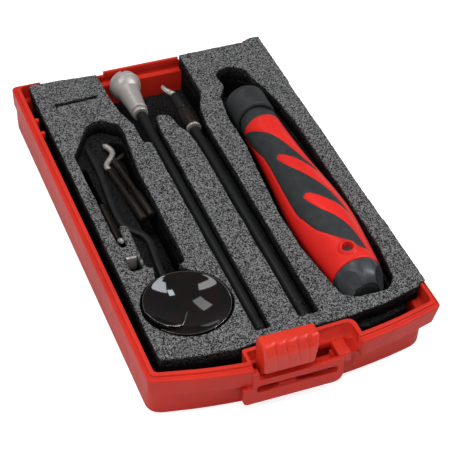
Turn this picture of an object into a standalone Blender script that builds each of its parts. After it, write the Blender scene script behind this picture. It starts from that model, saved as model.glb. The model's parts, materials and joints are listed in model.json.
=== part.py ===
"""A hand deburring tool set in its open case tray, built as separate pieces.

Lengths below are millimetres in the tray's own frame: x runs right from the inner left wall, y runs
back from the inner front corner, and z is zero at the rim. The "tray_corner" empty carries that frame
into the world, where the origin is the middle of the tray's underside and lengths are metres.
"""

import math

import bmesh
import bpy
from mathutils import Matrix, Vector
from mathutils.geometry import tessellate_polygon

MM = 0.001

# Driving sizes
CAVITY_WIDTH = 108.6
CAVITY_LENGTH = 180.0
TRAY_HEIGHT = 20.0
FLANGE_HEIGHT = 8.0
FLOOR_THICKNESS = 1.4
LEDGE_DEPTH = 6.8
FRONT_BOW = 7.5
GAP = 0.3
LEFT_RIM = 3.6
RIGHT_RIM = 2.4
BACK_RIM = 1.5
MID_X = (CAVITY_WIDTH + RIGHT_RIM - LEFT_RIM) / 2

FOAM_LEFT = 3.7
FOAM_FRONT = 4.9
FOAM_BOW = [(18.0, 1.7, 12), (33.0, 0.8, 4), (48.0, 2.4, 8), (79.0, 2.7, 8), (90.0, 3.9, 8)]
FOAM_TOP = 0.3
LOWER_RIGHT = 103.9

HANDLE_X = 89.2
HANDLE_Z = -3.5
ROD_Z = -3.9
ROD_RADIUS = 2.3
COUNTERSINK_X = 44.5
HOLDER_X = 62.4
DISC_CENTRE = (22.8, 29.3)
DISC_RADIUS = 16.5
SMOOTH_ANGLE = math.radians(35)

ROUND_STEPS = 24
CORNER_STEPS = 4


# ---------------------------------------------------------------- scene and materials

def clear_scene():
    for obj in list(bpy.data.objects):
        bpy.data.objects.remove(obj, do_unlink=True)


def make_material(name, colour, roughness, metallic=0.0):
    material = bpy.data.materials.new(name)
    material.use_nodes = True
    shader = material.node_tree.nodes["Principled BSDF"]
    shader.inputs["Base Color"].default_value = (*colour, 1.0)
    shader.inputs["Roughness"].default_value = roughness
    shader.inputs["Metallic"].default_value = metallic
    return material


def make_materials():
    return {
        "tray_red": make_material("tray_red", (0.55, 0.030, 0.018), 0.42),
        "latch_red": make_material("latch_red", (0.62, 0.035, 0.020), 0.38),
        "foam": make_material("foam", (0.085, 0.085, 0.088), 0.95),
        "handle_red": make_material("handle_red", (0.68, 0.018, 0.022), 0.35),
        "grip_rubber": make_material("grip_rubber", (0.020, 0.022, 0.023), 0.60),
        "collar_black": make_material("collar_black", (0.030, 0.030, 0.031), 0.50),
        "cap_grey": make_material("cap_grey", (0.050, 0.052, 0.055), 0.35),
        "black_steel": make_material("black_steel", (0.018, 0.018, 0.019), 0.40, 0.6),
        "nickel": make_material("nickel", (0.56, 0.53, 0.49), 0.38, 1.0),
        "bright_steel": make_material("bright_steel", (0.70, 0.66, 0.62), 0.25, 1.0),
        "brown_steel": make_material("brown_steel", (0.060, 0.050, 0.045), 0.45, 0.7),
        "gloss_black": make_material("gloss_black", (0.012, 0.010, 0.010), 0.10, 0.3),
        "spring_steel": make_material("spring_steel", (0.50, 0.50, 0.50), 0.30, 1.0),
    }


# ---------------------------------------------------------------- outlines

def arc(centre, radius, start_deg, end_deg, steps):
    """Points of a circle from one angle to another, both ends included."""
    angles = [math.radians(start_deg + (end_deg - start_deg) * i / steps) for i in range(steps + 1)]
    return [(centre[0] + radius * math.cos(a), centre[1] + radius * math.sin(a)) for a in angles]


def fillet(before, corner, after, radius, steps):
    """The arc that rounds one corner of an outline."""
    corner = Vector(corner)
    to_before = (Vector(before) - corner)
    to_after = (Vector(after) - corner)
    angle = to_before.angle(to_after)
    cut = min(radius / math.tan(angle / 2), 0.45 * to_before.length, 0.45 * to_after.length)
    start = corner + to_before.normalized() * cut
    end = corner + to_after.normalized() * cut
    points = []
    for i in range(steps + 1):
        t = i / steps
        points.append(tuple(start * (1 - t) ** 2 + corner * 2 * t * (1 - t) + end * t ** 2))
    return points


def rounded(corners, radius, steps=CORNER_STEPS):
    """A closed outline with every corner rounded; a corner may carry its own radius as a third number."""
    outline = []
    count = len(corners)
    for i, corner in enumerate(corners):
        own = corner[2] if len(corner) > 2 else radius
        here = corner[:2]
        if own <= 0:
            outline.append(tuple(here))
        else:
            before = corners[i - 1][:2]
            after = corners[(i + 1) % count][:2]
            outline.extend(fillet(before, here, after, own, steps))
    return outline


# ---------------------------------------------------------------- solids

def finish_mesh(name, bm, material, frame, at=(0, 0, 0)):
    """Turns a bmesh in millimetres into a named object placed in the given frame."""
    bmesh.ops.recalc_face_normals(bm, faces=bm.faces)
    bmesh.ops.scale(bm, vec=(MM, MM, MM), verts=bm.verts)
    mesh = bpy.data.meshes.new(name)
    bm.to_mesh(mesh)
    bm.free()
    mesh.shade_smooth()
    mesh.set_sharp_from_angle(angle=SMOOTH_ANGLE)
    if material:
        mesh.materials.append(material)
    obj = bpy.data.objects.new(name, mesh)
    bpy.context.collection.objects.link(obj)
    obj.parent = frame
    obj.location = Vector(at) * MM
    return obj


def add_loops(bm, loops):
    """Joins a chain of equal-length loops of points with quads and caps both ends."""
    rings = [[bm.verts.new(point) for point in loop] for loop in loops]
    count = len(rings[0])
    for lower, upper in zip(rings, rings[1:]):
        for i in range(count):
            j = (i + 1) % count
            bm.faces.new((lower[i], lower[j], upper[j], upper[i]))
    bm.faces.new(rings[0])
    bm.faces.new(rings[-1])


def loft(name, loops, material, frame, at=(0, 0, 0)):
    bm = bmesh.new()
    add_loops(bm, loops)
    return finish_mesh(name, bm, material, frame, at)


def prism(name, outline, low, high, material, frame, holes=(), at=(0, 0, 0)):
    """An outline in x and y, with through holes, extruded between two heights."""
    bm = bmesh.new()
    rings = [list(outline)] + [list(hole) for hole in holes]
    flat = [point for ring in rings for point in ring]
    bottom = [bm.verts.new((x, y, low)) for x, y in flat]
    top = [bm.verts.new((x, y, high)) for x, y in flat]
    for triangle in tessellate_polygon([[Vector((x, y, 0)) for x, y in ring] for ring in rings]):
        bm.faces.new([bottom[i] for i in triangle])
        bm.faces.new([top[i] for i in triangle])
    start = 0
    for ring in rings:
        count = len(ring)
        for i in range(count):
            j = (i + 1) % count
            bm.faces.new((bottom[start + i], bottom[start + j], top[start + j], top[start + i]))
        start += count
    return finish_mesh(name, bm, material, frame, at)


def lathe(name, profile, material, frame, at=(0, 0, 0), steps=ROUND_STEPS, turn=None):
    """A closed (radius, distance) profile turned about the y axis; a zero radius closes on the axis."""
    bm = bmesh.new()
    rings = []
    for radius, distance in profile:
        if radius < 1e-6:
            rings.append([bm.verts.new((0, distance, 0))])
        else:
            angles = [2 * math.pi * i / steps for i in range(steps)]
            ring = [(radius * math.sin(a), distance, radius * math.cos(a)) for a in angles]
            rings.append([bm.verts.new(point) for point in ring])
    solid = len(rings[0]) == 1 and len(rings[-1]) == 1
    pairs = list(zip(rings, rings[1:]))
    if not solid:
        pairs.append((rings[-1], rings[0]))
    for one, two in pairs:
        for i in range(steps):
            j = (i + 1) % steps
            if len(one) == 1:
                bm.faces.new((one[0], two[j], two[i]))
            elif len(two) == 1:
                bm.faces.new((one[i], one[j], two[0]))
            else:
                bm.faces.new((one[i], one[j], two[j], two[i]))
    if turn:
        bmesh.ops.transform(bm, matrix=turn, verts=bm.verts)
    return finish_mesh(name, bm, material, frame, at)


def sweep(name, path, radii, material, frame, at=(0, 0, 0), steps=10, flatten=1.0):
    """A round bar, or a flattened one, along a path of points with a radius at each."""
    points = [Vector(p) for p in path]
    bm = bmesh.new()
    loops = []
    side = None
    for i, point in enumerate(points):
        before = points[max(i - 1, 0)]
        after = points[min(i + 1, len(points) - 1)]
        tangent = (after - before).normalized()
        if side is None:
            side = tangent.cross(Vector((0, 0, 1)))
            if side.length < 0.01:
                side = Vector((1, 0, 0))
        side = (side - tangent * side.dot(tangent)).normalized()
        other = tangent.cross(side).normalized()
        loop = []
        for k in range(steps):
            a = 2 * math.pi * k / steps
            across = side * (radii[i] * math.cos(a))
            loop.append(point + across + other * (radii[i] * flatten * math.sin(a)))
        loops.append(loop)
    add_loops(bm, loops)
    return finish_mesh(name, bm, material, frame, at)


def helix(radius, pitch, turns, start, steps_per_turn):
    """Points of a coil about the y axis with its first and last half turns closed up."""
    points = []
    count = int(turns * steps_per_turn)
    for i in range(count + 1):
        t = i / steps_per_turn
        a = 2 * math.pi * t
        points.append((radius * math.sin(a), start + pitch * t, radius * math.cos(a)))
    return points


def cylinder_tool(name, radius, start, end, frame, steps=24):
    """A hidden round cutter between two points."""
    start, end = Vector(start), Vector(end)
    along = end - start
    bm = bmesh.new()
    turn = along.to_track_quat("Z", "Y").to_matrix().to_4x4()
    size = {"radius1": radius, "radius2": radius, "depth": along.length}
    bmesh.ops.create_cone(bm, cap_ends=True, segments=steps, **size)
    bmesh.ops.transform(bm, matrix=Matrix.Translation((start + end) / 2) @ turn, verts=bm.verts)
    return hide_tool(finish_mesh(name, bm, None, frame))


def box_tool(name, low, high, frame):
    outline = [(low[0], low[1]), (high[0], low[1]), (high[0], high[1]), (low[0], high[1])]
    return hide_tool(prism(name, outline, low[2], high[2], None, frame))


def hide_tool(obj):
    obj.hide_render = True
    obj.display_type = "WIRE"
    return obj


def combine(obj, tool, operation):
    modifier = obj.modifiers.new(operation.lower() + "_" + tool.name, "BOOLEAN")
    modifier.operation = operation
    modifier.object = tool
    modifier.solver = "EXACT"
    return obj


# ---------------------------------------------------------------- tray

def tray_loop(left, right, front, bow, back, z, front_radii=(2.5, 2.5), back_radius=2.5):
    """One level of the tray: straight sides and back, and a front that bows outwards."""
    middle = (left + right) / 2
    half = (right - left) / 2

    def front_point(x):
        return (x, front - bow * (1 - ((x - middle) / half) ** 2))

    inset = 0.14 * (right - left)
    count = 13
    xs = [left + inset + (right - left - 2 * inset) * i / (count - 1) for i in range(count)]
    front_line = [front_point(x) for x in xs]
    left_front, right_front = (left, front), (right, front)
    left_back, right_back = (left, back), (right, back)
    outline = fillet(left_back, left_front, front_line[0], front_radii[0], CORNER_STEPS)
    outline += front_line
    outline += fillet(front_line[-1], right_front, right_back, front_radii[1], CORNER_STEPS)
    outline += fillet(right_front, right_back, left_back, back_radius, CORNER_STEPS)
    outline += fillet(right_back, left_back, left_front, back_radius, CORNER_STEPS)
    return [(x, y, z) for x, y in outline]


RIM_LIP = 1.7
BAY_LEFT = 34.2
BAY_RIGHT = 72.5
GROOVE_DEPTH = 0.9
BACK_DROP = 3.4
NICHE = {"left": 34.0, "right": 75.8, "back": 0.4, "slant": 2.2, "depth": 8.6, "wall": 1.5}


def build_tray(frame, materials):
    floor = -TRAY_HEIGHT + FLOOR_THICKNESS
    width, length = CAVITY_WIDTH, CAVITY_LENGTH
    lower = (6.5, 8.5)
    low_right = LOWER_RIGHT + GAP
    low_back = length - 2.4
    outer_right = width + RIGHT_RIM
    outer_back = length + BACK_RIM
    loops = [
        tray_loop(0.9, low_right, 0.9, 5.6, low_back, floor, lower),
        tray_loop(0.4, low_right + 0.8, 0.3, 5.8, low_back + 0.2, -LEDGE_DEPTH - 0.6, lower),
        tray_loop(0.2, low_right + 1.2, 0.2, 6.0, low_back + 0.4, -LEDGE_DEPTH - 0.05, lower),
        tray_loop(0.0, width, 0.0, FRONT_BOW, length, -LEDGE_DEPTH),
        tray_loop(0.0, width, 0.0, FRONT_BOW, length, -0.3),
        tray_loop(-0.3, width + 0.2, -0.3, FRONT_BOW, length + 0.1, 0.0),
        tray_loop(-RIM_LIP, width + 1.0, -1.5, FRONT_BOW + 0.2, length + 0.5, 0.0),
        tray_loop(-RIM_LIP - 0.1, width + 1.1, -1.6, FRONT_BOW + 0.3, length + 0.6, -GROOVE_DEPTH),
        tray_loop(-2.6, width + 1.7, -2.4, FRONT_BOW + 0.7, length + 0.9, -GROOVE_DEPTH),
        tray_loop(-2.8, width + 1.8, -2.6, FRONT_BOW + 0.8, length + 1.0, -GROOVE_DEPTH + 0.5),
        tray_loop(-3.4, outer_right - 0.2, -3.3, FRONT_BOW + 1.2, outer_back - 0.2, -GROOVE_DEPTH + 0.5),
        tray_loop(-LEFT_RIM, outer_right, -3.5, FRONT_BOW + 1.3, outer_back, -GROOVE_DEPTH),
        tray_loop(-3.4, outer_right - 2.0, -3.1, FRONT_BOW + 1.2, outer_back - 0.2, -FLANGE_HEIGHT),
        tray_loop(-3.1, low_right + 2.2, -2.2, 6.3, length - 1.0, -FLANGE_HEIGHT - 0.2, lower),
        tray_loop(-2.8, low_right + 1.8, -1.8, 6.2, length - 1.2, -TRAY_HEIGHT + 0.8, lower),
        tray_loop(-2.0, low_right + 1.0, -1.0, 6.2, length - 2.0, -TRAY_HEIGHT, lower),
    ]
    tray = loft("tray_shell", loops, materials["tray_red"], frame)

    left, right, back = NICHE["left"], NICHE["right"], NICHE["back"]
    left_back = back - NICHE["slant"]
    rear = back + NICHE["wall"]
    left_rear = left_back + NICHE["wall"]
    opening = [(left, -16.0), (right, -16.0), (right, back), (left, left_back)]
    niche_cut = hide_tool(prism("niche_cut", opening, -NICHE["depth"], 2.0, None, frame))
    combine(tray, niche_cut, "DIFFERENCE")

    bottom = -TRAY_HEIGHT + 0.6
    liner_outline = [
        (left - 1.2, -7.5, 0),
        (left, -7.5, 0),
        (left, left_back, 1.0),
        (right, back, 4.0),
        (right, -7.0, 0),
        (right + 1.6, -7.0, 0),
        (right + 1.6, rear, 5.0),
        (left - 1.2, left_rear, 1.0),
    ]
    liner = hide_tool(prism("niche_wall", rounded(liner_outline, 0), -LEDGE_DEPTH - 1.8, 0.0, None, frame))
    combine(tray, liner, "UNION")
    skirt_outline = [
        (left + 0.1, left_back + 0.1), (right - 0.2, back + 0.1),
        (right - 0.2, rear - 0.2), (left + 0.1, left_rear - 0.2),
    ]
    combine(tray, hide_tool(prism("niche_skirt", skirt_outline, bottom, -5.0, None, frame)), "UNION")
    shelf_outline = [
        (left - 0.2, -3.1), (right + 0.2, -3.1), (right + 0.2, back + 0.2), (left - 0.2, left_back + 0.2),
    ]
    combine(tray, hide_tool(prism("niche_shelf", shelf_outline, -7.5, -5.1, None, frame)), "UNION")
    recess = box_tool("slot_recess", (36.0, -9.6, -12.2), (64.2, -7.3, -8.7), frame)
    combine(tray, recess, "DIFFERENCE")

    apron = apron_plate(frame)
    combine(tray, apron, "UNION")
    for i, x in enumerate((APRON["left"] + 3.2, APRON["right"] - 1.5)):
        low, high = (x - 1.2, -10.5, -13.5), (x + 1.2, -4.0, -FLANGE_HEIGHT + 0.5)
        combine(tray, box_tool(f"apron_web_{i}", low, high, frame), "UNION")
    low, high = (APRON["right"] - 1.7, -11.3, -9.0), (APRON["right"] + 3.4, -4.9, -4.7)
    combine(tray, box_tool("right_post", low, high, frame), "UNION")

    for i, y in enumerate((146.3, 155.7)):
        tab = box_tool(f"side_tab_{i}", (-0.4, y - 0.9, -3.2), (1.6, y + 0.9, -0.2), frame)
        combine(tray, tab, "UNION")
    low, high = (9.0, length - 2.0, -BACK_DROP), (width - 5.0, length + 4.0, 2.0)
    combine(tray, box_tool("back_wall_cut", low, high, frame), "DIFFERENCE")
    lip_low, lip_high = (BAY_LEFT + 3.4, length + 0.15, -4.6), (BAY_RIGHT - 0.2, length + 1.25, -1.3)
    combine(tray, box_tool("back_lip", lip_low, lip_high, frame), "UNION")
    hinge = {"y": length + 2.9, "z": -6.0, "half": 6.0, "radius": 1.9, "bore": 0.8}
    for i, x in enumerate((16.0, width - 18.0)):
        start = (x - hinge["half"], hinge["y"], hinge["z"])
        end = (x + hinge["half"], hinge["y"], hinge["z"])
        combine(tray, cylinder_tool(f"hinge_lug_{i}", hinge["radius"], start, end, frame, 16), "UNION")
        start, end = (start[0] - 2.0, *start[1:]), (end[0] + 2.0, *end[1:])
        combine(tray, cylinder_tool(f"hinge_hole_{i}", hinge["bore"], start, end, frame, 12), "DIFFERENCE")
    return tray


APRON = {"left": 29.4, "right": 68.4, "front": -11.8, "back": -9.6, "low": -16.6, "high": -4.7}


def apron_plate(frame):
    """The latch apron: an upright plate with a long slot, and a post up to the rim at its left."""
    left, right, low, high = APRON["left"], APRON["right"], APRON["low"], APRON["high"]
    post = NICHE["left"] - 0.9
    outline = rounded(
        [
            (left, low, 2.4), (right, low, 4.2), (right, high, 0.6), (post + 2.2, high, 0.4),
            (post + 2.2, -1.3, 0.4), (post, -1.3, 0.4), (post, -8.9, 0), (left, -8.9, 0.4),
        ],
        0,
    )
    slot = rounded([(35.0, -11.6), (65.0, -11.6), (65.0, -9.1), (35.0, -9.1)], 1.2)
    plate = prism("apron_plate", outline, 0.0, APRON["back"] - APRON["front"], None, frame, holes=[slot])
    plate.rotation_euler = (math.radians(90), 0, 0)
    plate.location = Vector((0, APRON["back"], 0)) * MM
    return hide_tool(plate)


SLIDER = {"left": 37.0, "right": 59.0, "front": -12.6, "back": -3.7, "low": -2.4, "high": 8.8}


def build_latch(frame, materials):
    """The latch slider: a hooked block with finger flutes on its front edge, and a leg behind the apron."""
    front, back, low, high = (SLIDER[k] for k in ("front", "back", "low", "high"))
    leg_front = APRON["back"] + GAP + 0.2
    profile = rounded(
        [
            (front, low, 0.6),
            (leg_front, low, 0),
            (leg_front, -8.0, 0.3),
            (-3.7, -8.0, 0.3),
            (back, high, 1.0),
            (front + 2.4, high, 1.8),
            (front + 0.5, high - 4.2, 2.0),
        ],
        0,
    )
    loops = [[(x, y, z) for y, z in profile] for x in (SLIDER["left"], SLIDER["right"])]
    slider = loft("latch_slider", loops, materials["latch_red"], frame)
    flutes = 5
    pitch = (SLIDER["right"] - SLIDER["left"]) / flutes
    for i in range(1, flutes):
        x = SLIDER["left"] + pitch * i
        start, end = (x, front - 1.0, -4.0), (x, front + 1.3, high + 2.0)
        combine(slider, cylinder_tool(f"flute_{i}", 1.3, start, end, frame, 12), "DIFFERENCE")
    skin = 1.8
    hollow_low = (SLIDER["left"] + skin, -8.0, -9.0)
    hollow_high = (SLIDER["right"] - skin, back - skin, high - 3.0)
    combine(slider, box_tool("slider_hollow", hollow_low, hollow_high, frame), "DIFFERENCE")
    return slider


# ---------------------------------------------------------------- foam

def handle_pocket(right_inset=0.0):
    corners = [
        (78.5, 14.1, 4), (84.0, 10.8, 4), (96.0, 10.8, 4), (100.8 - right_inset, 16.5, 4),
        (102.8 - right_inset, 35.0, 20), (103.0 - right_inset, 90.0, 20), (102.8 - right_inset, 112.0, 10),
        (101.4 - right_inset, 132.0, 6), (99.2, 145.4, 3), (96.7, 153.0, 2), (96.5, 160.0, 4),
        (91.0, 164.4, 4), (86.0, 164.0, 4), (82.4, 160.0, 3), (83.4, 151.3, 3), (79.2, 144.5, 4),
        (77.0, 128.0, 6),
        (77.6, 111.0, 8), (75.8, 90.6, 12), (74.0, 65.0, 12), (74.3, 43.7, 12), (77.0, 23.5, 8),
    ]
    return rounded(corners, 3)


def blade_pocket():
    """The blade pocket, the disc pocket and the neck between them as one opening."""
    cx, cy = DISC_CENTRE
    disc = arc((cx, cy), DISC_RADIUS + 1.0, -246, 66, 22)
    blades = rounded(
        [
            (30.0, 50.0, 3), (30.2, 108.0, 10), (32.4, 134.0, 5), (32.0, 140.6, 3), (25.0, 146.6, 5),
            (19.0, 144.0, 5), (13.0, 134.0, 5), (8.4, 126.0, 5), (8.4, 70.0, 1.0), (9.4, 66.0, 0.8),
            (11.6, 66.4, 0.8), (12.2, 79.0, 1.5), (15.4, 78.0, 2), (14.6, 52.0, 3),
        ],
        2,
    )
    return disc + blades


def open_bay_edge(back, rod_channels):
    """The foam edge where the rods' heads lie in a bay that opens through the back."""
    edge = [(BAY_RIGHT, back, 0), (72.4, 150.0, 8), (68.2, 140.6, 4), (67.0, 128.0, 4)]
    if rod_channels:
        edge += [(67.0, 8.6, 1.2), (58.8, 8.6, 1.2), (58.8, 119.5, 4)]
    else:
        edge += [(62.0, 124.0, 4)]
    edge += [(58.0, 125.5, 4), (55.4, 131.0, 4), (54.2, 140.0, 2.5), (48.6, 141.4, 2), (47.4, 130.0, 4)]
    if rod_channels:
        edge += [(47.3, 7.2, 1.2), (41.2, 7.2, 1.2), (41.2, 124.5, 0.6)]
    else:
        edge += [(44.0, 124.5, 1)]
    edge += [(37.9, 125.6, 0.8), (38.2, 138.0, 3), (35.0, 149.0, 4)]
    edge += [(BAY_LEFT, 160.0, 6), (BAY_LEFT, back, 0)]
    return edge


def build_foam(frame, materials):
    foam = materials["foam"]
    back = CAVITY_LENGTH - GAP
    right = CAVITY_WIDTH - GAP
    top_low = -LEDGE_DEPTH + 0.2
    middle_high = top_low - GAP
    middle_low = -16.4
    outline = [(FOAM_LEFT, FOAM_FRONT, 1), *FOAM_BOW, (right, 8.6, 2), (right, back, 4)]
    outline += open_bay_edge(back, rod_channels=True) + [(FOAM_LEFT, back, 2)]
    insert_slot = rounded([(8.6, 52.4), (13.4, 52.4), (13.4, 60.6), (8.6, 60.6)], 0.6)
    spare_slit = rounded([(10.3, 161.2), (29.6, 162.0), (29.6, 163.4), (10.3, 162.6)], 0.4)
    prism(
        "foam_top", rounded(outline, 1), top_low, FOAM_TOP, foam, frame,
        holes=[handle_pocket(), blade_pocket(), insert_slot, spare_slit],
    )

    middle_right = LOWER_RIGHT
    middle_back = back - 2.6
    middle_left = FOAM_LEFT + 0.2
    middle_outline = [(middle_left, FOAM_FRONT + 0.6, 3), (20.0, 3.2, 8), (34.0, 2.6, 3), (80.0, 2.6, 6)]
    middle_outline += [(84.0, 1.7, 6), (93.0, 3.8, 6), (102.0, 6.2, 5), (middle_right, 9.8, 2)]
    middle_outline += [(middle_right, middle_back, 3)]
    middle_outline += open_bay_edge(middle_back, rod_channels=False) + [(middle_left, middle_back, 3)]
    deep_slot = rounded(
        [
            (22.6, 48.0, 3), (30.0, 50.0, 3), (30.2, 108.0, 8), (32.2, 136.0, 4), (26.5, 140.0, 4),
            (26.5, 112.0, 4), (22.6, 100.0, 4),
        ],
        2,
    )
    left_slot = rounded([(8.6, 84.0, 1.5), (12.6, 84.0, 1.5), (12.6, 126.0, 1.5), (8.6, 124.0, 1.5)], 2)
    prism(
        "foam_middle", rounded(middle_outline, 1), middle_low, middle_high, foam, frame,
        holes=[handle_pocket(1.0), deep_slot, left_slot],
    )
    base_left, base_front = 1.6, 2.6
    base_outline = [(base_left, base_front, 6), (53.0, base_front, 0), (95.0, 5.0, 5)]
    base_outline.append((middle_right, 13.0, 5))
    base_outline += [(middle_right, middle_back, 3), (base_left, middle_back, 3)]
    base_low = -TRAY_HEIGHT + FLOOR_THICKNESS + GAP
    prism("foam_base", rounded(base_outline, 3), base_low, middle_low - GAP, foam, frame)


# ---------------------------------------------------------------- handle

CAP_START = 14.4
CORE_START = 24.2
CAP_BORE_END = 27.5
CORE_END = 121.2
# (distance from the front wall, outer radius)
SHOULDERS = [
    (10, 8.4), (24, 10.0), (38, 11.3), (54, 12.3), (69, 11.7), (90, 9.8), (108, 8.7), (118, 8.4), (130, 8.3),
]
GRIP_SKIN = 0.9
TUBE_RADIUS = 4.6
TUBE_BORE = 2.45
COLLAR_START = 128.0
COLLAR_END = 143.0
COLLAR_TRAVEL = 2.4
BUTTON_Y = 30.4
BUTTON_TILT = -9.0
BUTTON_RADIUS = 2.1
BUTTON_RIM = BUTTON_RADIUS + 1.3
CAP_BORE = 6.3
GRIP_START = 27.4
GRIP_END = 124.8
SOCKET_START = 92.0


def handle_radius(y):
    """The handle's outer radius along its length."""
    for (y0, r0), (y1, r1) in zip(SHOULDERS, SHOULDERS[1:]):
        if y <= y1:
            t = max(0.0, (y - y0) / (y1 - y0))
            return r0 + (r1 - r0) * t
    return SHOULDERS[-1][1]


def body_stations(start, end, step):
    count = max(1, round((end - start) / step))
    return [start + (end - start) * i / count for i in range(count + 1)]


def build_handle_core(frame, materials):
    """The hard body: full width at the rear shoulder, and thinner where the rubber skin lies over it."""
    shoulder = [(handle_radius(y), y) for y in (CORE_START, GRIP_START - 0.9)]
    stations = body_stations(GRIP_START - 0.2, CORE_END, 9)
    under_skin = [(handle_radius(y) - GRIP_SKIN - GAP, y) for y in stations]
    socket_radius = TUBE_RADIUS + 0.05
    socket = [(socket_radius, CORE_END), (socket_radius, SOCKET_START), (0.0, SOCKET_START)]
    rear_bore = [(0.0, CAP_BORE_END), (CAP_BORE, CAP_BORE_END), (CAP_BORE, CORE_START)]
    core = lathe("handle_core", rear_bore + shoulder + under_skin + socket, materials["handle_red"], frame)
    combine(core, button_bore("button_rim", BUTTON_RIM, 7.5, 10.6, frame), "UNION")
    combine(core, button_bore("button_well", BUTTON_RADIUS + 0.1, 3.6, 14.0, frame), "DIFFERENCE")


def button_direction():
    a = math.radians(BUTTON_TILT)
    return Vector((math.sin(a), 0, math.cos(a)))


def button_bore(name, radius, low, high, frame):
    """A hidden round tool on the button's axis, between two distances from the handle's axis."""
    out = button_direction()
    centre = Vector((0, BUTTON_Y, 0))
    return cylinder_tool(name, radius, centre + out * low, centre + out * high, frame)


# The grip's claw pattern, for one side of the handle. Claws list (y, angle from the top in degrees)
# along each edge; the two red windows between the claw's fingers list (angle, y) along their upper
# and lower edges.
CLAW_LEFT = [
    (26, 50), (28, 40), (30, 16), (33, 3), (36, -12), (41, -30), (46, -44), (54, -54), (61, -60), (95, -64),
    (103, -73), (111, -86), (119, -96),
]
CLAW_RIGHT = [
    (26, 32), (29, 38), (50, 46), (72, 46), (77.5, 42), (82, 38), (87, 29), (94, 18), (101, 5), (107, -10),
    (111, -28), (116, -55), (119, -78),
]
WINDOW_ONE = {
    "upper": [(-34, 92.6), (-24, 93.4), (-7, 90.5), (8, 87), (22, 83.5), (36, 79.5), (44, 78), (58, 77.5)],
    "lower": [(-34, 91.4), (-29, 89), (-17, 83), (-3, 77.5), (11, 71.5), (26, 64), (40, 50), (58, 30)],
}
WINDOW_TWO = {
    "upper": [(-30, 64.0), (-19, 64.4), (-4, 61), (9, 57.5), (25, 54), (40, 49), (58, 42)],
    "lower": [(-30, 63.0), (-24, 59), (-14, 53.5), (0, 49), (15, 44), (26, 38.5), (38, 27), (58, 12)],
}
CUT_OUTER = 30.0
CUT_INNER = 3.0


def along_axis(radius, angle_deg, y):
    a = math.radians(angle_deg)
    return (radius * math.sin(a), y, radius * math.cos(a))


def read_line(table, value):
    """Straight-line reading of a (position, size) table."""
    for (p0, s0), (p1, s1) in zip(table, table[1:]):
        if value <= p1:
            return s0 + (s1 - s0) * max(0.0, (value - p0) / (p1 - p0))
    return table[-1][1]


def red_side_tool(name, turn_deg, frame):
    """Cutter for the red side between one claw's right edge and the next claw's left edge."""
    loops = []
    spans = 8
    for y in body_stations(26.6, 118.8, 6):
        start = read_line(CLAW_RIGHT, y) + turn_deg
        end = read_line(CLAW_LEFT, y) + 180 + turn_deg
        angles = [start + (end - start) * i / spans for i in range(spans + 1)]
        loop = [along_axis(CUT_OUTER, a, y) for a in angles]
        loop += [along_axis(CUT_INNER, a, y) for a in reversed(angles)]
        loops.append(loop)
    return hide_tool(loft(name, loops, None, frame))


def window_tool(name, window, turn_deg, frame):
    """Cutter for one leaf-shaped red window."""
    first = window["upper"][0][0]
    loops = []
    for angle in range(first, 52, 5):
        high = read_line(window["upper"], angle)
        low = read_line(window["lower"], angle)
        a = angle + turn_deg
        corners = ((CUT_INNER, low), (CUT_OUTER, low), (CUT_OUTER, high), (CUT_INNER, high))
        loops.append([along_axis(radius, a, y) for radius, y in corners])
    return hide_tool(loft(name, loops, None, frame))


def build_overmold(frame, materials):
    """The rubber skin: a neck band and two claw-shaped grips that hang from it."""
    neck_bore = TUBE_RADIUS + 0.6
    stations = body_stations(GRIP_START, GRIP_END, 9)
    outer = [(handle_radius(y), y) for y in stations[:-1]]
    inner = [(handle_radius(y) - GRIP_SKIN, y) for y in reversed(stations) if y <= CORE_END]
    neck = [(8.2, GRIP_END), (neck_bore, GRIP_END), (neck_bore, CORE_END + GAP)]
    neck.append((inner[0][0], CORE_END + GAP))
    skin = lathe("handle_overmold", outer + neck + inner, materials["grip_rubber"], frame, steps=28)
    for i, turn_deg in enumerate((0, 180)):
        combine(skin, red_side_tool(f"red_side_{i}", turn_deg, frame), "DIFFERENCE")
        combine(skin, window_tool(f"window_one_{i}", WINDOW_ONE, turn_deg, frame), "DIFFERENCE")
        combine(skin, window_tool(f"window_two_{i}", WINDOW_TWO, turn_deg, frame), "DIFFERENCE")
    combine(skin, button_bore("button_clearance", BUTTON_RIM + GAP, 6.0, 14.0, frame), "DIFFERENCE")


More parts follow.
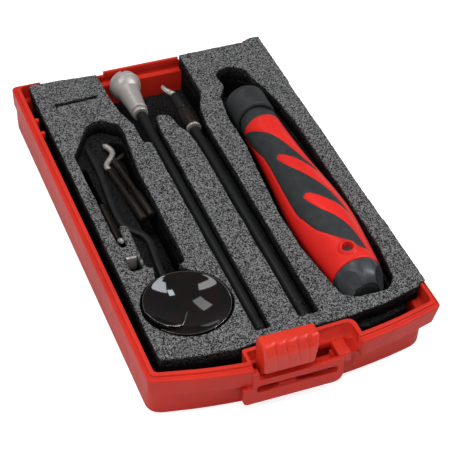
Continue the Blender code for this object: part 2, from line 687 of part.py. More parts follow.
def build_chuck(frame, materials, collar_frame):
    """The socket tube, its detent ball, and the sliding collar with its spring and snap ring."""
    tube = lathe(
        "socket_tube",
        [(TUBE_BORE, 92.4), (TUBE_RADIUS, 92.4), (TUBE_RADIUS, 139.0), (TUBE_RADIUS - 0.5, 139.0),
         (TUBE_RADIUS - 0.5, 140.4), (TUBE_RADIUS, 140.4), (TUBE_RADIUS, 142.0), (TUBE_RADIUS - 0.4, 142.4),
         (TUBE_BORE, 142.4)],
        materials["bright_steel"], frame,
    )
    ball_y = 135.6
    ball_hole = cylinder_tool("ball_hole", 1.25, (0, ball_y, 2.0), (0, ball_y, 6.0), frame, 16)
    combine(tube, ball_hole, "DIFFERENCE")
    bm = bmesh.new()
    bmesh.ops.create_uvsphere(bm, u_segments=12, v_segments=8, radius=1.1)
    finish_mesh("detent_ball", bm, materials["bright_steel"], frame, at=(0, ball_y, 3.9))
    lathe(
        "collar_snap_ring",
        [(TUBE_RADIUS - 0.35, 139.3), (TUBE_RADIUS + 1.0, 139.3), (TUBE_RADIUS + 1.0, 140.1),
         (TUBE_RADIUS - 0.35, 140.1)],
        materials["spring_steel"], frame,
    )
    inner = TUBE_RADIUS + 0.5
    lathe(
        "chuck_collar",
        [(7.4, COLLAR_START), (8.3, COLLAR_START), (9.1, COLLAR_START + 0.7), (9.1, COLLAR_END - 3.0),
         (8.8, COLLAR_END - 1.3), (8.2, COLLAR_END - 0.4), (7.2, COLLAR_END),
         (TUBE_RADIUS + 1.8, COLLAR_END), (TUBE_RADIUS + 1.4, COLLAR_END - 0.4), (TUBE_RADIUS + 1.4, 138.6),
         (inner, 138.6), (inner, 133.4), (7.4, 133.4)],
        materials["collar_black"], collar_frame, steps=28,
    )
    coil = helix(6.2, 1.55, 4.5, 126.0, 10)
    sweep("collar_spring", coil, [0.42] * len(coil), materials["spring_steel"], frame, steps=5)


def build_rear_cap(frame, materials):
    dome = [(0.0, CAP_START + 1.2), (5.2, CAP_START + 1.2), (5.2, CAP_START), (6.2, CAP_START + 0.3),
            (7.6, CAP_START + 1.4), (8.9, CAP_START + 3.6), (9.7, CAP_START + 6.6), (9.95, CORE_START - GAP)]
    spigot = [(6.0, CORE_START - GAP), (6.0, CAP_BORE_END - GAP), (0.0, CAP_BORE_END - GAP)]
    lathe("rear_cap", dome + spigot, materials["cap_grey"], frame, steps=28)
    lathe(
        "rear_cap_disc",
        [(0.0, CAP_START - 0.1), (4.6, CAP_START - 0.1), (4.9, CAP_START + 0.2),
         (4.9, CAP_START + 1.2 - GAP / 3), (0.0, CAP_START + 1.2 - GAP / 3)],
        materials["collar_black"], frame,
    )


def build_button(frame, materials):
    """The release button in its well, and the coil under it, built about its own axis."""
    lean = Matrix.Rotation(math.radians(90), 4, "X")
    tilt = Matrix.Rotation(math.radians(BUTTON_TILT), 4, "Y")
    place = tilt @ lean
    lathe(
        "release_button",
        [(0.0, 6.2), (BUTTON_RADIUS - 0.3, 6.2), (BUTTON_RADIUS, 6.5), (BUTTON_RADIUS, 9.0),
         (BUTTON_RADIUS - 0.4, 9.4), (0.9, 9.1), (0.0, 9.0)],
        materials["collar_black"], frame, at=(0, BUTTON_Y, 0), steps=16, turn=place,
    )
    coil = helix(1.4, 0.62, 3.0, 4.2, 8)
    coil = [tuple(place @ Vector(p)) for p in coil]
    radii = [0.2] * len(coil)
    sweep("button_spring", coil, radii, materials["spring_steel"], frame, at=(0, BUTTON_Y, 0), steps=5)


# ---------------------------------------------------------------- the two rods

def build_countersink(frame, materials):
    """Countersink holder: a black rod, a stop ring, a tapered sleeve, and the cutter with its screw."""
    lathe(
        "countersink_rod",
        [(0.0, 9.4), (ROD_RADIUS - 0.7, 9.4), (ROD_RADIUS, 10.4), (ROD_RADIUS, 15.0),
         (ROD_RADIUS - 0.4, 15.4), (ROD_RADIUS - 0.4, 16.8), (ROD_RADIUS, 17.2), (ROD_RADIUS, 148.0),
         (1.8, 148.4), (1.8, 164.0), (0.0, 164.0)],
        materials["black_steel"], frame, steps=16,
    )
    lathe(
        "countersink_ring",
        [(1.9, 148.7), (3.2, 148.7), (3.4, 149.2), (3.4, 150.4), (3.1, 150.9), (1.9, 150.9)],
        materials["nickel"], frame, steps=20,
    )
    lathe(
        "countersink_sleeve",
        [(1.9, 151.2), (3.5, 151.2), (3.8, 151.5), (3.85, 152.6), (3.6, 152.9), (4.9, 165.2), (5.3, 166.0),
         (6.3, 168.8), (6.3, 169.6), (3.4, 169.6), (3.4, 166.0), (1.9, 166.0)],
        materials["nickel"], frame,
    )
    cutter = lathe(
        "countersink_cutter",
        [(1.6, 169.9), (6.4, 169.9), (6.9, 170.6), (6.9, 174.4), (6.6, 174.9), (2.2, 178.2), (1.6, 178.2)],
        materials["nickel"], frame,
    )
    flutes = 3
    for i in range(flutes):
        a = 2 * math.pi * i / flutes
        start = (6.6 * math.sin(a), 173.4, 6.6 * math.cos(a))
        end = (0.8 * math.sin(a + 0.5), 181.0, 0.8 * math.cos(a + 0.5))
        combine(cutter, cylinder_tool(f"cutter_flute_{i}", 0.9, start, end, frame, 10), "DIFFERENCE")
    lathe(
        "countersink_screw",
        [(0.0, 166.4), (1.3, 166.4), (1.3, 178.5), (2.0, 178.5), (2.0, 179.2), (1.4, 179.6), (0.0, 179.6)],
        materials["bright_steel"], frame, steps=14,
    )


def build_blade_holder(frame, materials):
    """Blade holder: a black rod, a bright ring, a ferrule, and the nose that carries the swivel blade."""
    lathe(
        "blade_holder_rod",
        [(0.0, 9.9), (ROD_RADIUS - 0.7, 9.9), (ROD_RADIUS, 10.9), (ROD_RADIUS, 15.5),
         (ROD_RADIUS - 0.4, 15.9), (ROD_RADIUS - 0.4, 17.3), (ROD_RADIUS, 17.7), (ROD_RADIUS, 132.8),
         (1.7, 133.2), (1.7, 144.8), (0.0, 144.8)],
        materials["black_steel"], frame, steps=16,
    )
    lathe(
        "holder_ring",
        [(1.8, 133.5), (3.0, 133.5), (3.15, 133.8), (3.15, 134.5), (3.0, 134.8), (1.8, 134.8)],
        materials["bright_steel"], frame, steps=20,
    )
    lathe(
        "holder_ferrule",
        [(1.8, 135.1), (2.85, 135.1), (2.9, 135.4), (2.75, 146.8), (2.3, 148.0), (1.1, 148.0), (1.1, 145.2),
         (1.8, 145.2)],
        materials["brown_steel"], frame, steps=20,
    )
    lathe(
        "holder_nose",
        [(0.0, 148.3), (1.9, 148.3), (1.95, 148.8), (1.9, 158.0), (1.75, 158.6), (1.4, 158.6), (1.4, 150.4),
         (0.0, 150.4)],
        materials["black_steel"], frame, steps=16,
    )


def build_swivel_blade(frame, materials):
    """The blade in the holder: a round shank in the nose and a bent cutting tip."""
    path = [(0, 150.7, 0), (0, 151.0, 0), (0, 159.4, 0), (-0.5, 160.8, 0), (-1.6, 162.4, 0),
            (-2.4, 164.0, 0), (-2.5, 165.8, 0), (-2.0, 167.2, 0)]
    radii = [1.0, 1.3, 1.3, 1.25, 1.15, 1.05, 0.9, 0.35]
    sweep("swivel_blade", path, radii, materials["bright_steel"], frame, steps=12)


# ---------------------------------------------------------------- loose pieces

BLADE_Z = -4.7


def build_loose_blade(name, tail, neck, hook, frame, material):
    """A spare swivel blade: thick shank, thin neck, and a hooked tip."""
    tail, neck = Vector(tail), Vector(neck)
    along = (neck - tail).normalized()
    shoulder = tail + along * 15.0
    path = [tail, tail + along * 0.4, shoulder, shoulder + along * 0.5, neck - along * 3.0, neck]
    radii = [1.3, 1.7, 1.7, 1.25, 1.2, 1.15]
    for offset_x, offset_y, radius in hook:
        path.append(neck + Vector((offset_x, offset_y, 0)))
        radii.append(radius)
    sweep(name, [point - tail for point in path], radii, material, frame, at=tail, steps=12)


def build_loose_pieces(frames, materials):
    steel = materials["brown_steel"]
    hook = [
        (1.2, 2.4, 1.15), (3.6, 5.2, 1.15), (4.9, 7.6, 1.2), (4.7, 10.6, 1.25), (3.6, 13.2, 1.15),
        (3.0, 14.6, 0.5),
    ]
    small_hook = [(0.6, 1.2, 1.1), (2.2, 2.2, 1.05), (4.2, 3.6, 1.0), (5.2, 4.8, 0.5)]
    one_ends = (24.4, 84.2, BLADE_Z), (20.4, 121.0, BLADE_Z)
    two_ends = (28.2, 85.6, BLADE_Z), (24.7, 122.4, BLADE_Z)
    build_loose_blade("loose_blade_1", *one_ends, hook, frames["blade_1"], steel)
    build_loose_blade("loose_blade_2", *two_ends, small_hook, frames["blade_2"], steel)
    path = [
        (10.2, 95.0, -2.4), (10.2, 94.6, -2.4), (10.2, 74.0, -2.2), (10.3, 72.4, -1.6), (10.5, 70.6, -0.4),
        (10.6, 69.0, 0.2),
    ]
    radii = [0.8, 1.1, 1.1, 1.1, 1.2, 0.5]
    sweep("small_blade", path, radii, steel, frames["small_blade"], steps=12)
    outline = rounded([(8.9, 58.9), (13.1, 58.9), (13.1, 60.2), (8.9, 60.2)], 0.25, 2)
    prism("scraper_insert", outline, -5.4, 0.5, materials["bright_steel"], frames["insert"])


# Rings of the dished disc, as shares of its radius, from the hub out to the rim.
DISC_SHARES = (0.24, 0.5, 0.62, 0.75, 0.88, 0.96, 1.0)
DISC_THICKNESS = 1.2
DISC_STEPS = 32
DISC_RISE = 1.1


def dish_height(share):
    return -4.6 + 4.8 * share ** 2.2


def flute_angles(share):
    """Where the dish starts and ends at one ring: the open flute is narrow inside and wide at the rim."""
    outward = max(0.0, (share - 0.5) / 0.5)
    lower_lip = 243.0 - 28.0 * outward ** 1.2
    upper_edge = 241.0 - 61.0 * outward ** 1.6
    return lower_lip, upper_edge + 360.0


def build_disc_tool(frame, materials):
    """The disc deburrer: a dished cutter with one open flute, on a cranked shank."""
    loops = []
    for i in range(DISC_STEPS + 1):
        turned = i / DISC_STEPS
        upper = []
        for share in DISC_SHARES:
            start, end = flute_angles(share)
            a = math.radians(start + (end - start) * turned)
            r = DISC_RADIUS * share
            upper.append((r * math.cos(a), r * math.sin(a), dish_height(share) + DISC_RISE * turned * share))
        lower = [(x, y, z - DISC_THICKNESS) for x, y, z in reversed(upper)]
        loops.append(upper + lower)
    place = (*DISC_CENTRE, 0)
    disc = loft("disc_cutter", loops, materials["gloss_black"], frame, at=place)

    hub_top = dish_height(DISC_SHARES[0]) + 1.3
    profile = [(0.0, -6.4), (4.6, -6.4), (4.6, -4.2), (4.2, hub_top - 0.5), (2.4, hub_top), (0.0, hub_top)]
    upright = Matrix.Rotation(math.radians(90), 4, "X")
    hub = lathe("disc_hub_tool", profile, None, frame, at=place, turn=upright)
    combine(disc, hide_tool(hub), "UNION")

    z = -5.2
    path = [
        (16.6, 134.8, z), (16.6, 134.2, z), (16.8, 119.0, z), (15.4, 99.0, z), (15.2, 88.6, z),
        (15.8, 84.4, z), (17.4, 81.2, z), (20.6, 77.4, z), (22.0, 74.2, z), (22.4, 70.0, z), (21.4, 60.0, z),
        (20.9, 50.0, z - 0.4), (21.3, 40.0, -6.0), (21.9, 35.0, -6.0),
    ]
    radii = [1.2, 1.5] + [1.5] * 8 + [1.4, 1.3, 1.2, 1.0]
    sweep("disc_shank", path, radii, materials["black_steel"], frame, steps=10, flatten=0.55)


# ---------------------------------------------------------------- assembly

def empty(name, parent, at=(0, 0, 0)):
    obj = bpy.data.objects.new(name, None)
    bpy.context.collection.objects.link(obj)
    obj.parent = parent
    obj.location = Vector(at) * MM
    return obj


def build():
    clear_scene()
    materials = make_materials()
    tray_corner = empty("tray_corner", None, (-MID_X, -CAVITY_LENGTH / 2, TRAY_HEIGHT))

    build_tray(tray_corner, materials)
    build_latch(tray_corner, materials)
    build_foam(tray_corner, materials)

    handle = empty("handle_axis", tray_corner, (HANDLE_X, 0, HANDLE_Z))
    collar = empty("collar_axis", handle)
    build_handle_core(handle, materials)
    build_overmold(handle, materials)
    build_chuck(handle, materials, collar)
    build_rear_cap(empty("cap_axis", handle), materials)
    build_button(handle, materials)

    build_countersink(empty("countersink_axis", tray_corner, (COUNTERSINK_X, 0, ROD_Z)), materials)
    holder = empty("holder_axis", tray_corner, (HOLDER_X, 0, ROD_Z))
    build_blade_holder(holder, materials)
    build_swivel_blade(empty("swivel_axis", holder), materials)

    names = ("blade_1", "blade_2", "small_blade", "insert")
    build_loose_pieces({name: empty(f"{name}_frame", tray_corner) for name in names}, materials)
    build_disc_tool(empty("disc_frame", tray_corner), materials)


build()
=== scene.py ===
"""The looks of a hand deburring tool set in its open case tray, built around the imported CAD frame.

Shapes are drawn in millimetres in the tray's own frame: x runs right from the inner left wall, y runs
back from the inner front corner, and z is zero at the rim. to_object() carries them to the frame.
"""

import json
import math

import bmesh
import bpy
import numpy as np
from mathutils import Matrix, Vector, noise
from mathutils.geometry import tessellate_polygon


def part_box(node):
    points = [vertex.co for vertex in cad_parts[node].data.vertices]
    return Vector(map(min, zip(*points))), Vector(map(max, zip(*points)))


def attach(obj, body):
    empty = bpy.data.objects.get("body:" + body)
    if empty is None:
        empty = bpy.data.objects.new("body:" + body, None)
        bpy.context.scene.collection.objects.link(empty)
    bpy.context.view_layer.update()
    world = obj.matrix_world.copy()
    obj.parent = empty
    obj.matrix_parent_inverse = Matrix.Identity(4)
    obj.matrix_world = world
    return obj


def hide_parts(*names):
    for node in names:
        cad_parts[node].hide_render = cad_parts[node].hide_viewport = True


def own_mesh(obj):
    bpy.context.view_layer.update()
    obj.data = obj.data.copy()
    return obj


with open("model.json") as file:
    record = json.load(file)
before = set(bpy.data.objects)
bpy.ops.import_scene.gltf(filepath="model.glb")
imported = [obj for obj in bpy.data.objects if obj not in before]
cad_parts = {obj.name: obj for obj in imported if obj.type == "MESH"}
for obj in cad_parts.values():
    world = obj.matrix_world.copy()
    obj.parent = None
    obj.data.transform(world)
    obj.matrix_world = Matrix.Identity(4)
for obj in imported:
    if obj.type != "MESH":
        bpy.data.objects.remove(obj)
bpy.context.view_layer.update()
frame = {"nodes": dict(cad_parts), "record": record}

MM = 0.001
LEFT_RIM = 3.6
RIGHT_RIM = 2.4
BACK_RIM = 1.5
TRAY_HEIGHT = 20.0
FLOOR_TOP = -TRAY_HEIGHT + 1.4
CAVITY_LENGTH = 180.0
LEDGE_DEPTH = 6.8
FLANGE_HEIGHT = 8.0
GROOVE_DEPTH = 0.9
FRONT_BOW = 7.5
LOWER_RIGHT = 104.2
TRAY_LOW, TRAY_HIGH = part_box("tray_shell")
CAVITY_WIDTH = (TRAY_HIGH.x - TRAY_LOW.x) / MM - LEFT_RIM - RIGHT_RIM
CORNER = Vector((TRAY_LOW.x / MM + LEFT_RIM, -CAVITY_LENGTH / 2, TRAY_HEIGHT))
TO_FRAME = Matrix.Scale(MM, 4) @ Matrix.Translation(CORNER)
UPRIGHT = Matrix.Rotation(math.radians(90), 4, "X")

RECORD = frame["record"]
BODY_OF = {node: body for body, nodes in RECORD["behaviour"]["bodies"].items() for node in nodes}
SLOT_OF = {entry["node"]: entry["material_slot"] for entry in RECORD["subparts"]}


def local_box(node):
    """A node's lowest and highest corners in the tray's millimetres."""
    low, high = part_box(node)
    return low / MM - CORNER, high / MM - CORNER


def axis_of(node):
    """Where a round node's axis runs: its x and z in the tray's millimetres."""
    low, high = local_box(node)
    return (low.x + high.x) / 2, (low.z + high.z) / 2


# ---------------------------------------------------------------- materials

class Look:
    """One material's node tree, with short calls for the nodes that the finishes share."""

    def __init__(self, name):
        self.material = bpy.data.materials.new(name)
        self.material.use_nodes = True
        self.tree = self.material.node_tree
        self.shader = self.tree.nodes["Principled BSDF"]
        self.place = self.output("ShaderNodeTexCoord", "Object")

    def feed(self, socket, value):
        """Links a socket to another node's output, or sets its value."""
        if isinstance(value, bpy.types.NodeSocket):
            self.tree.links.new(value, socket)
        elif socket.type == "RGBA":
            socket.default_value = (*value, 1.0)
        else:
            socket.default_value = value

    def output(self, kind, name, inputs=None, **settings):
        """Adds a node with these settings and inputs, and gives one of its outputs."""
        node = self.tree.nodes.new(kind)
        for key, value in settings.items():
            setattr(node, key, value)
        for key, value in (inputs or {}).items():
            self.feed(node.inputs[key], value)
        return node.outputs[name]

    def stretched(self, x, y, z):
        """Coordinates scaled along each axis, for grain that runs one way."""
        return self.output("ShaderNodeMapping", "Vector", {"Vector": self.place, "Scale": (x, y, z)})

    def noise(self, size_mm, detail=2.0, rough=0.5, place=None, warp=0.0):
        inputs = {"Vector": place or self.place, "Scale": 1.0 / (size_mm * MM), "Detail": detail,
                  "Roughness": rough, "Distortion": warp}
        return self.output("ShaderNodeTexNoise", "Fac", inputs)

    def cells(self, size_mm):
        inputs = {"Vector": self.place, "Scale": 1.0 / (size_mm * MM)}
        return self.output("ShaderNodeTexVoronoi", "Distance", inputs)

    def ramp(self, value, low, high, start=0.0, end=1.0):
        """Maps a value from one range to another, held at both ends."""
        inputs = {"Value": value, "From Min": low, "From Max": high, "To Min": start, "To Max": end}
        return self.output("ShaderNodeMapRange", "Result", inputs)

    def height_of(self, vector):
        return self.output("ShaderNodeSeparateXYZ", "Z", {"Vector": vector})

    def maths(self, operation, one, two=0.0):
        return self.output("ShaderNodeMath", "Value", {0: one, 1: two}, operation=operation)

    def times(self, one, two):
        return self.maths("MULTIPLY", one, two)

    def plus(self, one, two):
        return self.maths("ADD", one, two)

    def blend(self, share, one, two):
        inputs = {"Factor": share, "A": one, "B": two}
        return self.output("ShaderNodeMix", "Result", inputs, data_type="RGBA")

    def bump(self, height, depth_mm, normal=None, strength=1.0):
        inputs = {"Height": height, "Distance": depth_mm * MM, "Strength": strength}
        if normal:
            inputs["Normal"] = normal
        return self.output("ShaderNodeBump", "Normal", inputs)

    def soft_edges(self, radius_mm):
        """A normal that rounds sharp edges, and a mask of those edges."""
        eased = self.output("ShaderNodeBevel", "Normal", {"Radius": radius_mm * MM}, samples=6)
        flat = self.output("ShaderNodeNewGeometry", "Normal")
        facing = self.output("ShaderNodeVectorMath", "Value", {0: eased, 1: flat}, operation="DOT_PRODUCT")
        return eased, self.ramp(facing, 0.995, 0.80)

    def finish(self, colour, roughness, normal, metallic=0.0, **extra):
        inputs = {"Base Color": colour, "Roughness": roughness, "Normal": normal, "Metallic": metallic}
        inputs.update({key.replace("_", " "): value for key, value in extra.items()})
        for key, value in inputs.items():
            self.feed(self.shader.inputs[key], value)
        return self.material


def moulded_plastic(name, colour, worn, rough, grain_mm=0.5, gloss=0.35):
    """Moulded plastic: faint flow marks, a fine skin, edges lightened in patches as wear and as a painted
    highlight, and a few dull smears.
    """
    look = Look(name)
    edge_normal, edges = look.soft_edges(0.35)
    flow = look.noise(22.0, 3.0, 0.5, warp=0.6)
    patch = look.noise(2.6, 4.0, 0.6)
    # Edges lightened in patches: partly wear, partly a painted highlight along the edges.
    wear_and_highlight = look.times(edges, look.ramp(patch, 0.38, 0.62, 0.15, 0.75))
    dull = tuple(0.86 * c for c in colour)
    base = look.blend(look.ramp(flow, 0.35, 0.65), dull, colour)
    base = look.blend(wear_and_highlight, base, worn)
    shine = look.ramp(look.noise(7.0, 4.0, 0.65), 0.3, 0.7, rough - 0.05, rough + 0.07)
    skin = look.bump(look.noise(grain_mm, 2.0, 0.5), 0.006, edge_normal)
    ripple = look.bump(look.noise(9.0, 1.0), 0.05, skin)
    return look.finish(base, shine, ripple, Specular_IOR_Level=gloss)


def foam():
    """Open-cell foam: light cell walls round dark pores, with painted shade that darkens the cut sides and
    the depths of the pockets.
    """
    look = Look("foam")
    fine = look.noise(0.50, 2.0, 0.8)
    coarse = look.noise(1.05, 2.0, 0.6)
    pores = look.ramp(look.cells(0.72), 0.10, 0.50)
    tone = look.plus(look.times(fine, 0.75), look.times(coarse, 0.35))
    tone = look.plus(tone, look.times(pores, 0.22))
    tone = look.ramp(tone, 0.635, 0.81)
    colour = look.blend(look.maths("POWER", tone, 1.6), (0.004, 0.004, 0.004), (0.205, 0.202, 0.202))
    bright = look.ramp(look.noise(0.62, 1.0, 0.5), 0.64, 0.72)
    colour = look.blend(look.times(bright, 0.55), colour, (0.40, 0.40, 0.40))
    # Painted shade: the colour falls to near-black deep in the pockets and on faces that do not face up,
    # standing in for the shade there.
    shade_height = look.plus(look.height_of(look.place), look.times(look.noise(1.6, 3.0, 0.7), 0.0022))
    shallow = look.ramp(shade_height, (TRAY_HEIGHT - 3.4) * MM, (TRAY_HEIGHT + 0.7) * MM)
    facing_up = look.height_of(look.output("ShaderNodeNewGeometry", "True Normal"))
    light = look.times(look.ramp(shallow, 0.0, 1.0, 0.10, 1.0), look.ramp(facing_up, 0.10, 0.75, 0.22, 1.0))
    colour = look.blend(light, (0.004, 0.004, 0.0045), colour)
    normal = look.bump(tone, 0.35, strength=0.7)
    return look.finish(colour, 0.95, normal, Specular_IOR_Level=0.05)


def grip_rubber():
    """Soft matt rubber: mottled, finely grained, and paler along its edges with a painted highlight."""
    look = Look("grip_rubber")
    edge_normal, edges = look.soft_edges(0.25)
    mottled = look.ramp(look.noise(3.0, 5.0, 0.65), 0.35, 0.68)
    colour = look.blend(mottled, (0.019, 0.022, 0.023), (0.033, 0.037, 0.038))
    # Painted highlight: the colour is paler along the edges.
    colour = look.blend(look.times(edges, 0.5), colour, (0.10, 0.10, 0.10))
    fine = look.bump(look.noise(0.22, 3.0, 0.7), 0.020, edge_normal)
    worn = look.bump(look.noise(1.4, 4.0, 0.6), 0.045, fine)
    rough = look.ramp(look.noise(5.0, 4.0, 0.6), 0.3, 0.7, 0.50, 0.66)
    return look.finish(colour, rough, worn)


def dark_plastic(name, colour, light, rough, coat=0.0):
    """Near-black plastic with grey patches, scuffs that run along the handle, and a painted highlight that
    greys its edges.
    """
    look = Look(name)
    edge_normal, edges = look.soft_edges(0.3)
    patches = look.ramp(look.noise(6.0, 4.0, 0.6, warp=1.0), 0.38, 0.66)
    base = look.blend(patches, colour, light)
    # Painted highlight: the colour is greyer along the edges.
    base = look.blend(look.times(edges, 0.35), base, (0.14, 0.14, 0.145))
    scuffs = look.noise(1.1, 5.0, 0.7, place=look.stretched(1.0, 0.25, 1.0))
    normal = look.bump(scuffs, 0.020, look.bump(look.noise(0.3, 2.0), 0.008, edge_normal))
    shine = look.ramp(scuffs, 0.3, 0.7, rough - 0.06, rough + 0.10)
    return look.finish(base, shine, normal, Coat_Weight=coat, Coat_Roughness=0.25)


def turned_metal(name, colour, dark, rough, metallic=1.0, ring_depth=0.006):
    """Turned or ground metal: fine rings round the piece, a slow change of tone, and edges brightened as a
    painted highlight.
    """
    look = Look(name)
    edge_normal, edges = look.soft_edges(0.18)
    rings = look.noise(0.16, 3.0, 0.6, place=look.stretched(0.15, 1.0, 0.15))
    stain = look.ramp(look.noise(3.4, 4.0, 0.6, warp=0.8), 0.36, 0.68)
    base = look.blend(look.times(stain, 0.3), colour, dark)
    # Painted highlight: the edges take a brighter colour.
    bright = tuple(min(1.0, 1.35 * c + 0.03) for c in colour)
    base = look.blend(look.times(edges, 0.6), base, bright)
    normal = look.bump(rings, ring_depth, look.bump(look.noise(0.5, 2.0), 0.006, edge_normal))
    shine = look.ramp(look.noise(1.8, 4.0, 0.65), 0.3, 0.7, rough - 0.06, rough + 0.08)
    return look.finish(base, shine, normal, metallic)


def glossy_disc():
    """A hard near-black coating with a maroon cast, mirror bright, turned to steel along its edges, partly
    as wear and partly as a painted highlight.
    """
    look = Look("gloss_black")
    edge_normal, edges = look.soft_edges(0.30)
    flow = look.ramp(look.noise(7.0, 2.0), 0.35, 0.65)
    base = look.blend(flow, (0.0045, 0.0045, 0.0045), (0.010, 0.0045, 0.0045))
    # Edges turned to bright steel in patches: partly wear, partly a painted highlight along the rim.
    worn = look.times(edges, look.ramp(look.noise(2.2, 3.0), 0.35, 0.6, 0.45, 1.0))
    base = look.blend(worn, base, (0.62, 0.55, 0.50))
    scratches = look.noise(0.5, 4.0, 0.6, place=look.stretched(0.12, 1.4, 1.0))
    shine = look.ramp(scratches, 0.62, 0.80, 0.05, 0.30)
    normal = look.bump(look.noise(6.0, 1.0), 0.04, look.bump(scratches, 0.0012, edge_normal))
    return look.finish(base, shine, normal, worn, Coat_Weight=0.5, Coat_Roughness=0.04, IOR=1.6)


MATERIALS = {
    "tray_red": moulded_plastic("tray_red", (0.60, 0.024, 0.012), (0.78, 0.10, 0.06), 0.40),
    "latch_red": moulded_plastic("latch_red", (0.66, 0.030, 0.014), (0.86, 0.14, 0.09), 0.30, gloss=0.6),
    "foam": foam(),
    "handle_red": moulded_plastic("handle_red", (0.72, 0.018, 0.013), (0.82, 0.10, 0.07), 0.36, 0.35),
    "grip_rubber": grip_rubber(),
    "collar_black": dark_plastic("collar_black", (0.022, 0.023, 0.024), (0.036, 0.037, 0.038), 0.46),
    "cap_grey": dark_plastic("cap_grey", (0.030, 0.032, 0.035), (0.058, 0.061, 0.066), 0.34, 0.35),
    "black_steel": turned_metal("black_steel", (0.022, 0.022, 0.023), (0.010, 0.010, 0.010), 0.36, 0.5),
    "nickel": turned_metal("nickel", (0.62, 0.57, 0.53), (0.46, 0.42, 0.39), 0.40, 0.62, ring_depth=0.003),
    "bright_steel": turned_metal("bright_steel", (0.84, 0.78, 0.75), (0.60, 0.52, 0.48), 0.26, 0.78, 0.001),
    "brown_steel": turned_metal("brown_steel", (0.055, 0.045, 0.038), (0.022, 0.018, 0.015), 0.34, 0.8),
    "gloss_black": glossy_disc(),
    "spring_steel": turned_metal("spring_steel", (0.46, 0.46, 0.47), (0.30, 0.29, 0.28), 0.28),
}


# ---------------------------------------------------------------- outlines and curves

def fillet(before, corner, after, radius, steps):
    """The arc that rounds one corner, in two or three dimensions."""
    corner = Vector(corner)
    to_before = Vector(before) - corner
    to_after = Vector(after) - corner
    if to_before.length < 1e-6 or to_after.length < 1e-6:
        return [tuple(corner)] * (steps + 1)
    angle = to_before.angle(to_after)
    cut = min(radius / max(math.tan(angle / 2), 1e-4), 0.45 * to_before.length, 0.45 * to_after.length)
    start = corner + to_before.normalized() * cut
    end = corner + to_after.normalized() * cut
    shares = [i / steps for i in range(steps + 1)]
    return [tuple(start * (1 - t) ** 2 + corner * 2 * t * (1 - t) + end * t ** 2) for t in shares]


def rounded(corners, radius, steps=8):
    """A closed outline with rounded corners; a corner may carry its own radius as a third number."""
    outline = []
    for i, corner in enumerate(corners):
        own = corner[2] if len(corner) > 2 else radius
        here = corner[:2]
        if own <= 0:
            outline.append(tuple(here))
        else:
            before = corners[i - 1][:2]
            after = corners[(i + 1) % len(corners)][:2]
            outline.extend(fillet(before, here, after, own, steps))
    return outline


def eased(points, radius, steps=4):
    """An open line of points with its inner corners rounded."""
    line = [tuple(points[0])]
    for before, here, after in zip(points, points[1:], points[2:]):
        line.extend(fillet(before, here, after, radius, steps))
    line.append(tuple(points[-1]))
    return line


def through(points, steps=8):
    """A smooth curve through a few points of any number of coordinates."""
    known = np.array(points, float)
    padded = np.vstack([2 * known[0] - known[1], known, 2 * known[-1] - known[-2]])
    curve = []
    for a, b, c, d in zip(padded, padded[1:], padded[2:], padded[3:]):
        for t in np.arange(steps) / steps:
            bend = (2 * a - 5 * b + 4 * c - d) * t * t + (3 * b - a - 3 * c + d) * t ** 3
            curve.append(0.5 * (2 * b + (c - a) * t + bend))
    curve.append(known[-1])
    return np.array(curve)


def spread(values, step):
    """Evenly spaced numbers from the first to the last value, about one step apart."""
    first, last = values
    count = max(2, round(abs(last - first) / step) + 1)
    return np.linspace(first, last, count)


# ---------------------------------------------------------------- meshes

def new_object(name, data):
    obj = bpy.data.objects.new(name, data)
    bpy.context.scene.collection.objects.link(obj)
    return obj


def to_object(name, bm, smooth_deg=40):
    """Turns a bmesh in the tray's millimetres into an object in the frame's metres."""
    bmesh.ops.recalc_face_normals(bm, faces=bm.faces)
    bmesh.ops.transform(bm, matrix=TO_FRAME, verts=bm.verts)
    mesh = bpy.data.meshes.new(name)
    bm.to_mesh(mesh)
    bm.free()
    mesh.shade_smooth()
    mesh.set_sharp_from_angle(angle=math.radians(smooth_deg))
    return new_object(name, mesh)


def add_piece(obj, node, slot=None):
    """Puts an object on a CAD node's body, with that node's material unless another slot is named."""
    slot = slot or SLOT_OF[node]
    obj.data.materials.clear()
    obj.data.materials.append(MATERIALS[slot])
    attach(obj, BODY_OF[node])
    return obj


def stand_for(obj, node):
    """Adds an object that is shown in place of its CAD node."""
    add_piece(obj, node)
    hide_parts(node)
    return obj


def show(node, bm, smooth_deg=40):
    """Shows a bmesh in place of its CAD node."""
    return stand_for(to_object(f"{node}_visual", bm, smooth_deg), node)


def loft_mesh(loops):
    """Quads between equal loops of points; the first and last loops are capped."""
    bm = bmesh.new()
    rings = [[bm.verts.new(point) for point in loop] for loop in loops]
    for one, two in zip(rings, rings[1:]):
        for i in range(len(one)):
            j = (i + 1) % len(one)
            bm.faces.new((one[i], one[j], two[j], two[i]))
    bm.faces.new(rings[0])
    bm.faces.new(rings[-1])
    return bm


def prism_mesh(outline, low, high, holes=()):
    """An outline with holes, drawn from above and stretched from one height to another."""
    bm = bmesh.new()
    rings = [list(outline)] + [list(hole) for hole in holes]
    flat = [point for ring in rings for point in ring]
    bottom = [bm.verts.new((x, y, low)) for x, y in flat]
    top = [bm.verts.new((x, y, high)) for x, y in flat]
    for triangle in tessellate_polygon([[Vector((x, y, 0)) for x, y in ring] for ring in rings]):
        bm.faces.new([bottom[i] for i in triangle])
        bm.faces.new([top[i] for i in triangle])
    start = 0
    for ring in rings:
        for i in range(len(ring)):
            j = (i + 1) % len(ring)
            a, b = start + i, start + j
            bm.faces.new((bottom[a], bottom[b], top[b], top[a]))
        start += len(ring)
    return bm


def full_turn(steps):
    return np.linspace(0, 2 * math.pi, steps, endpoint=False)


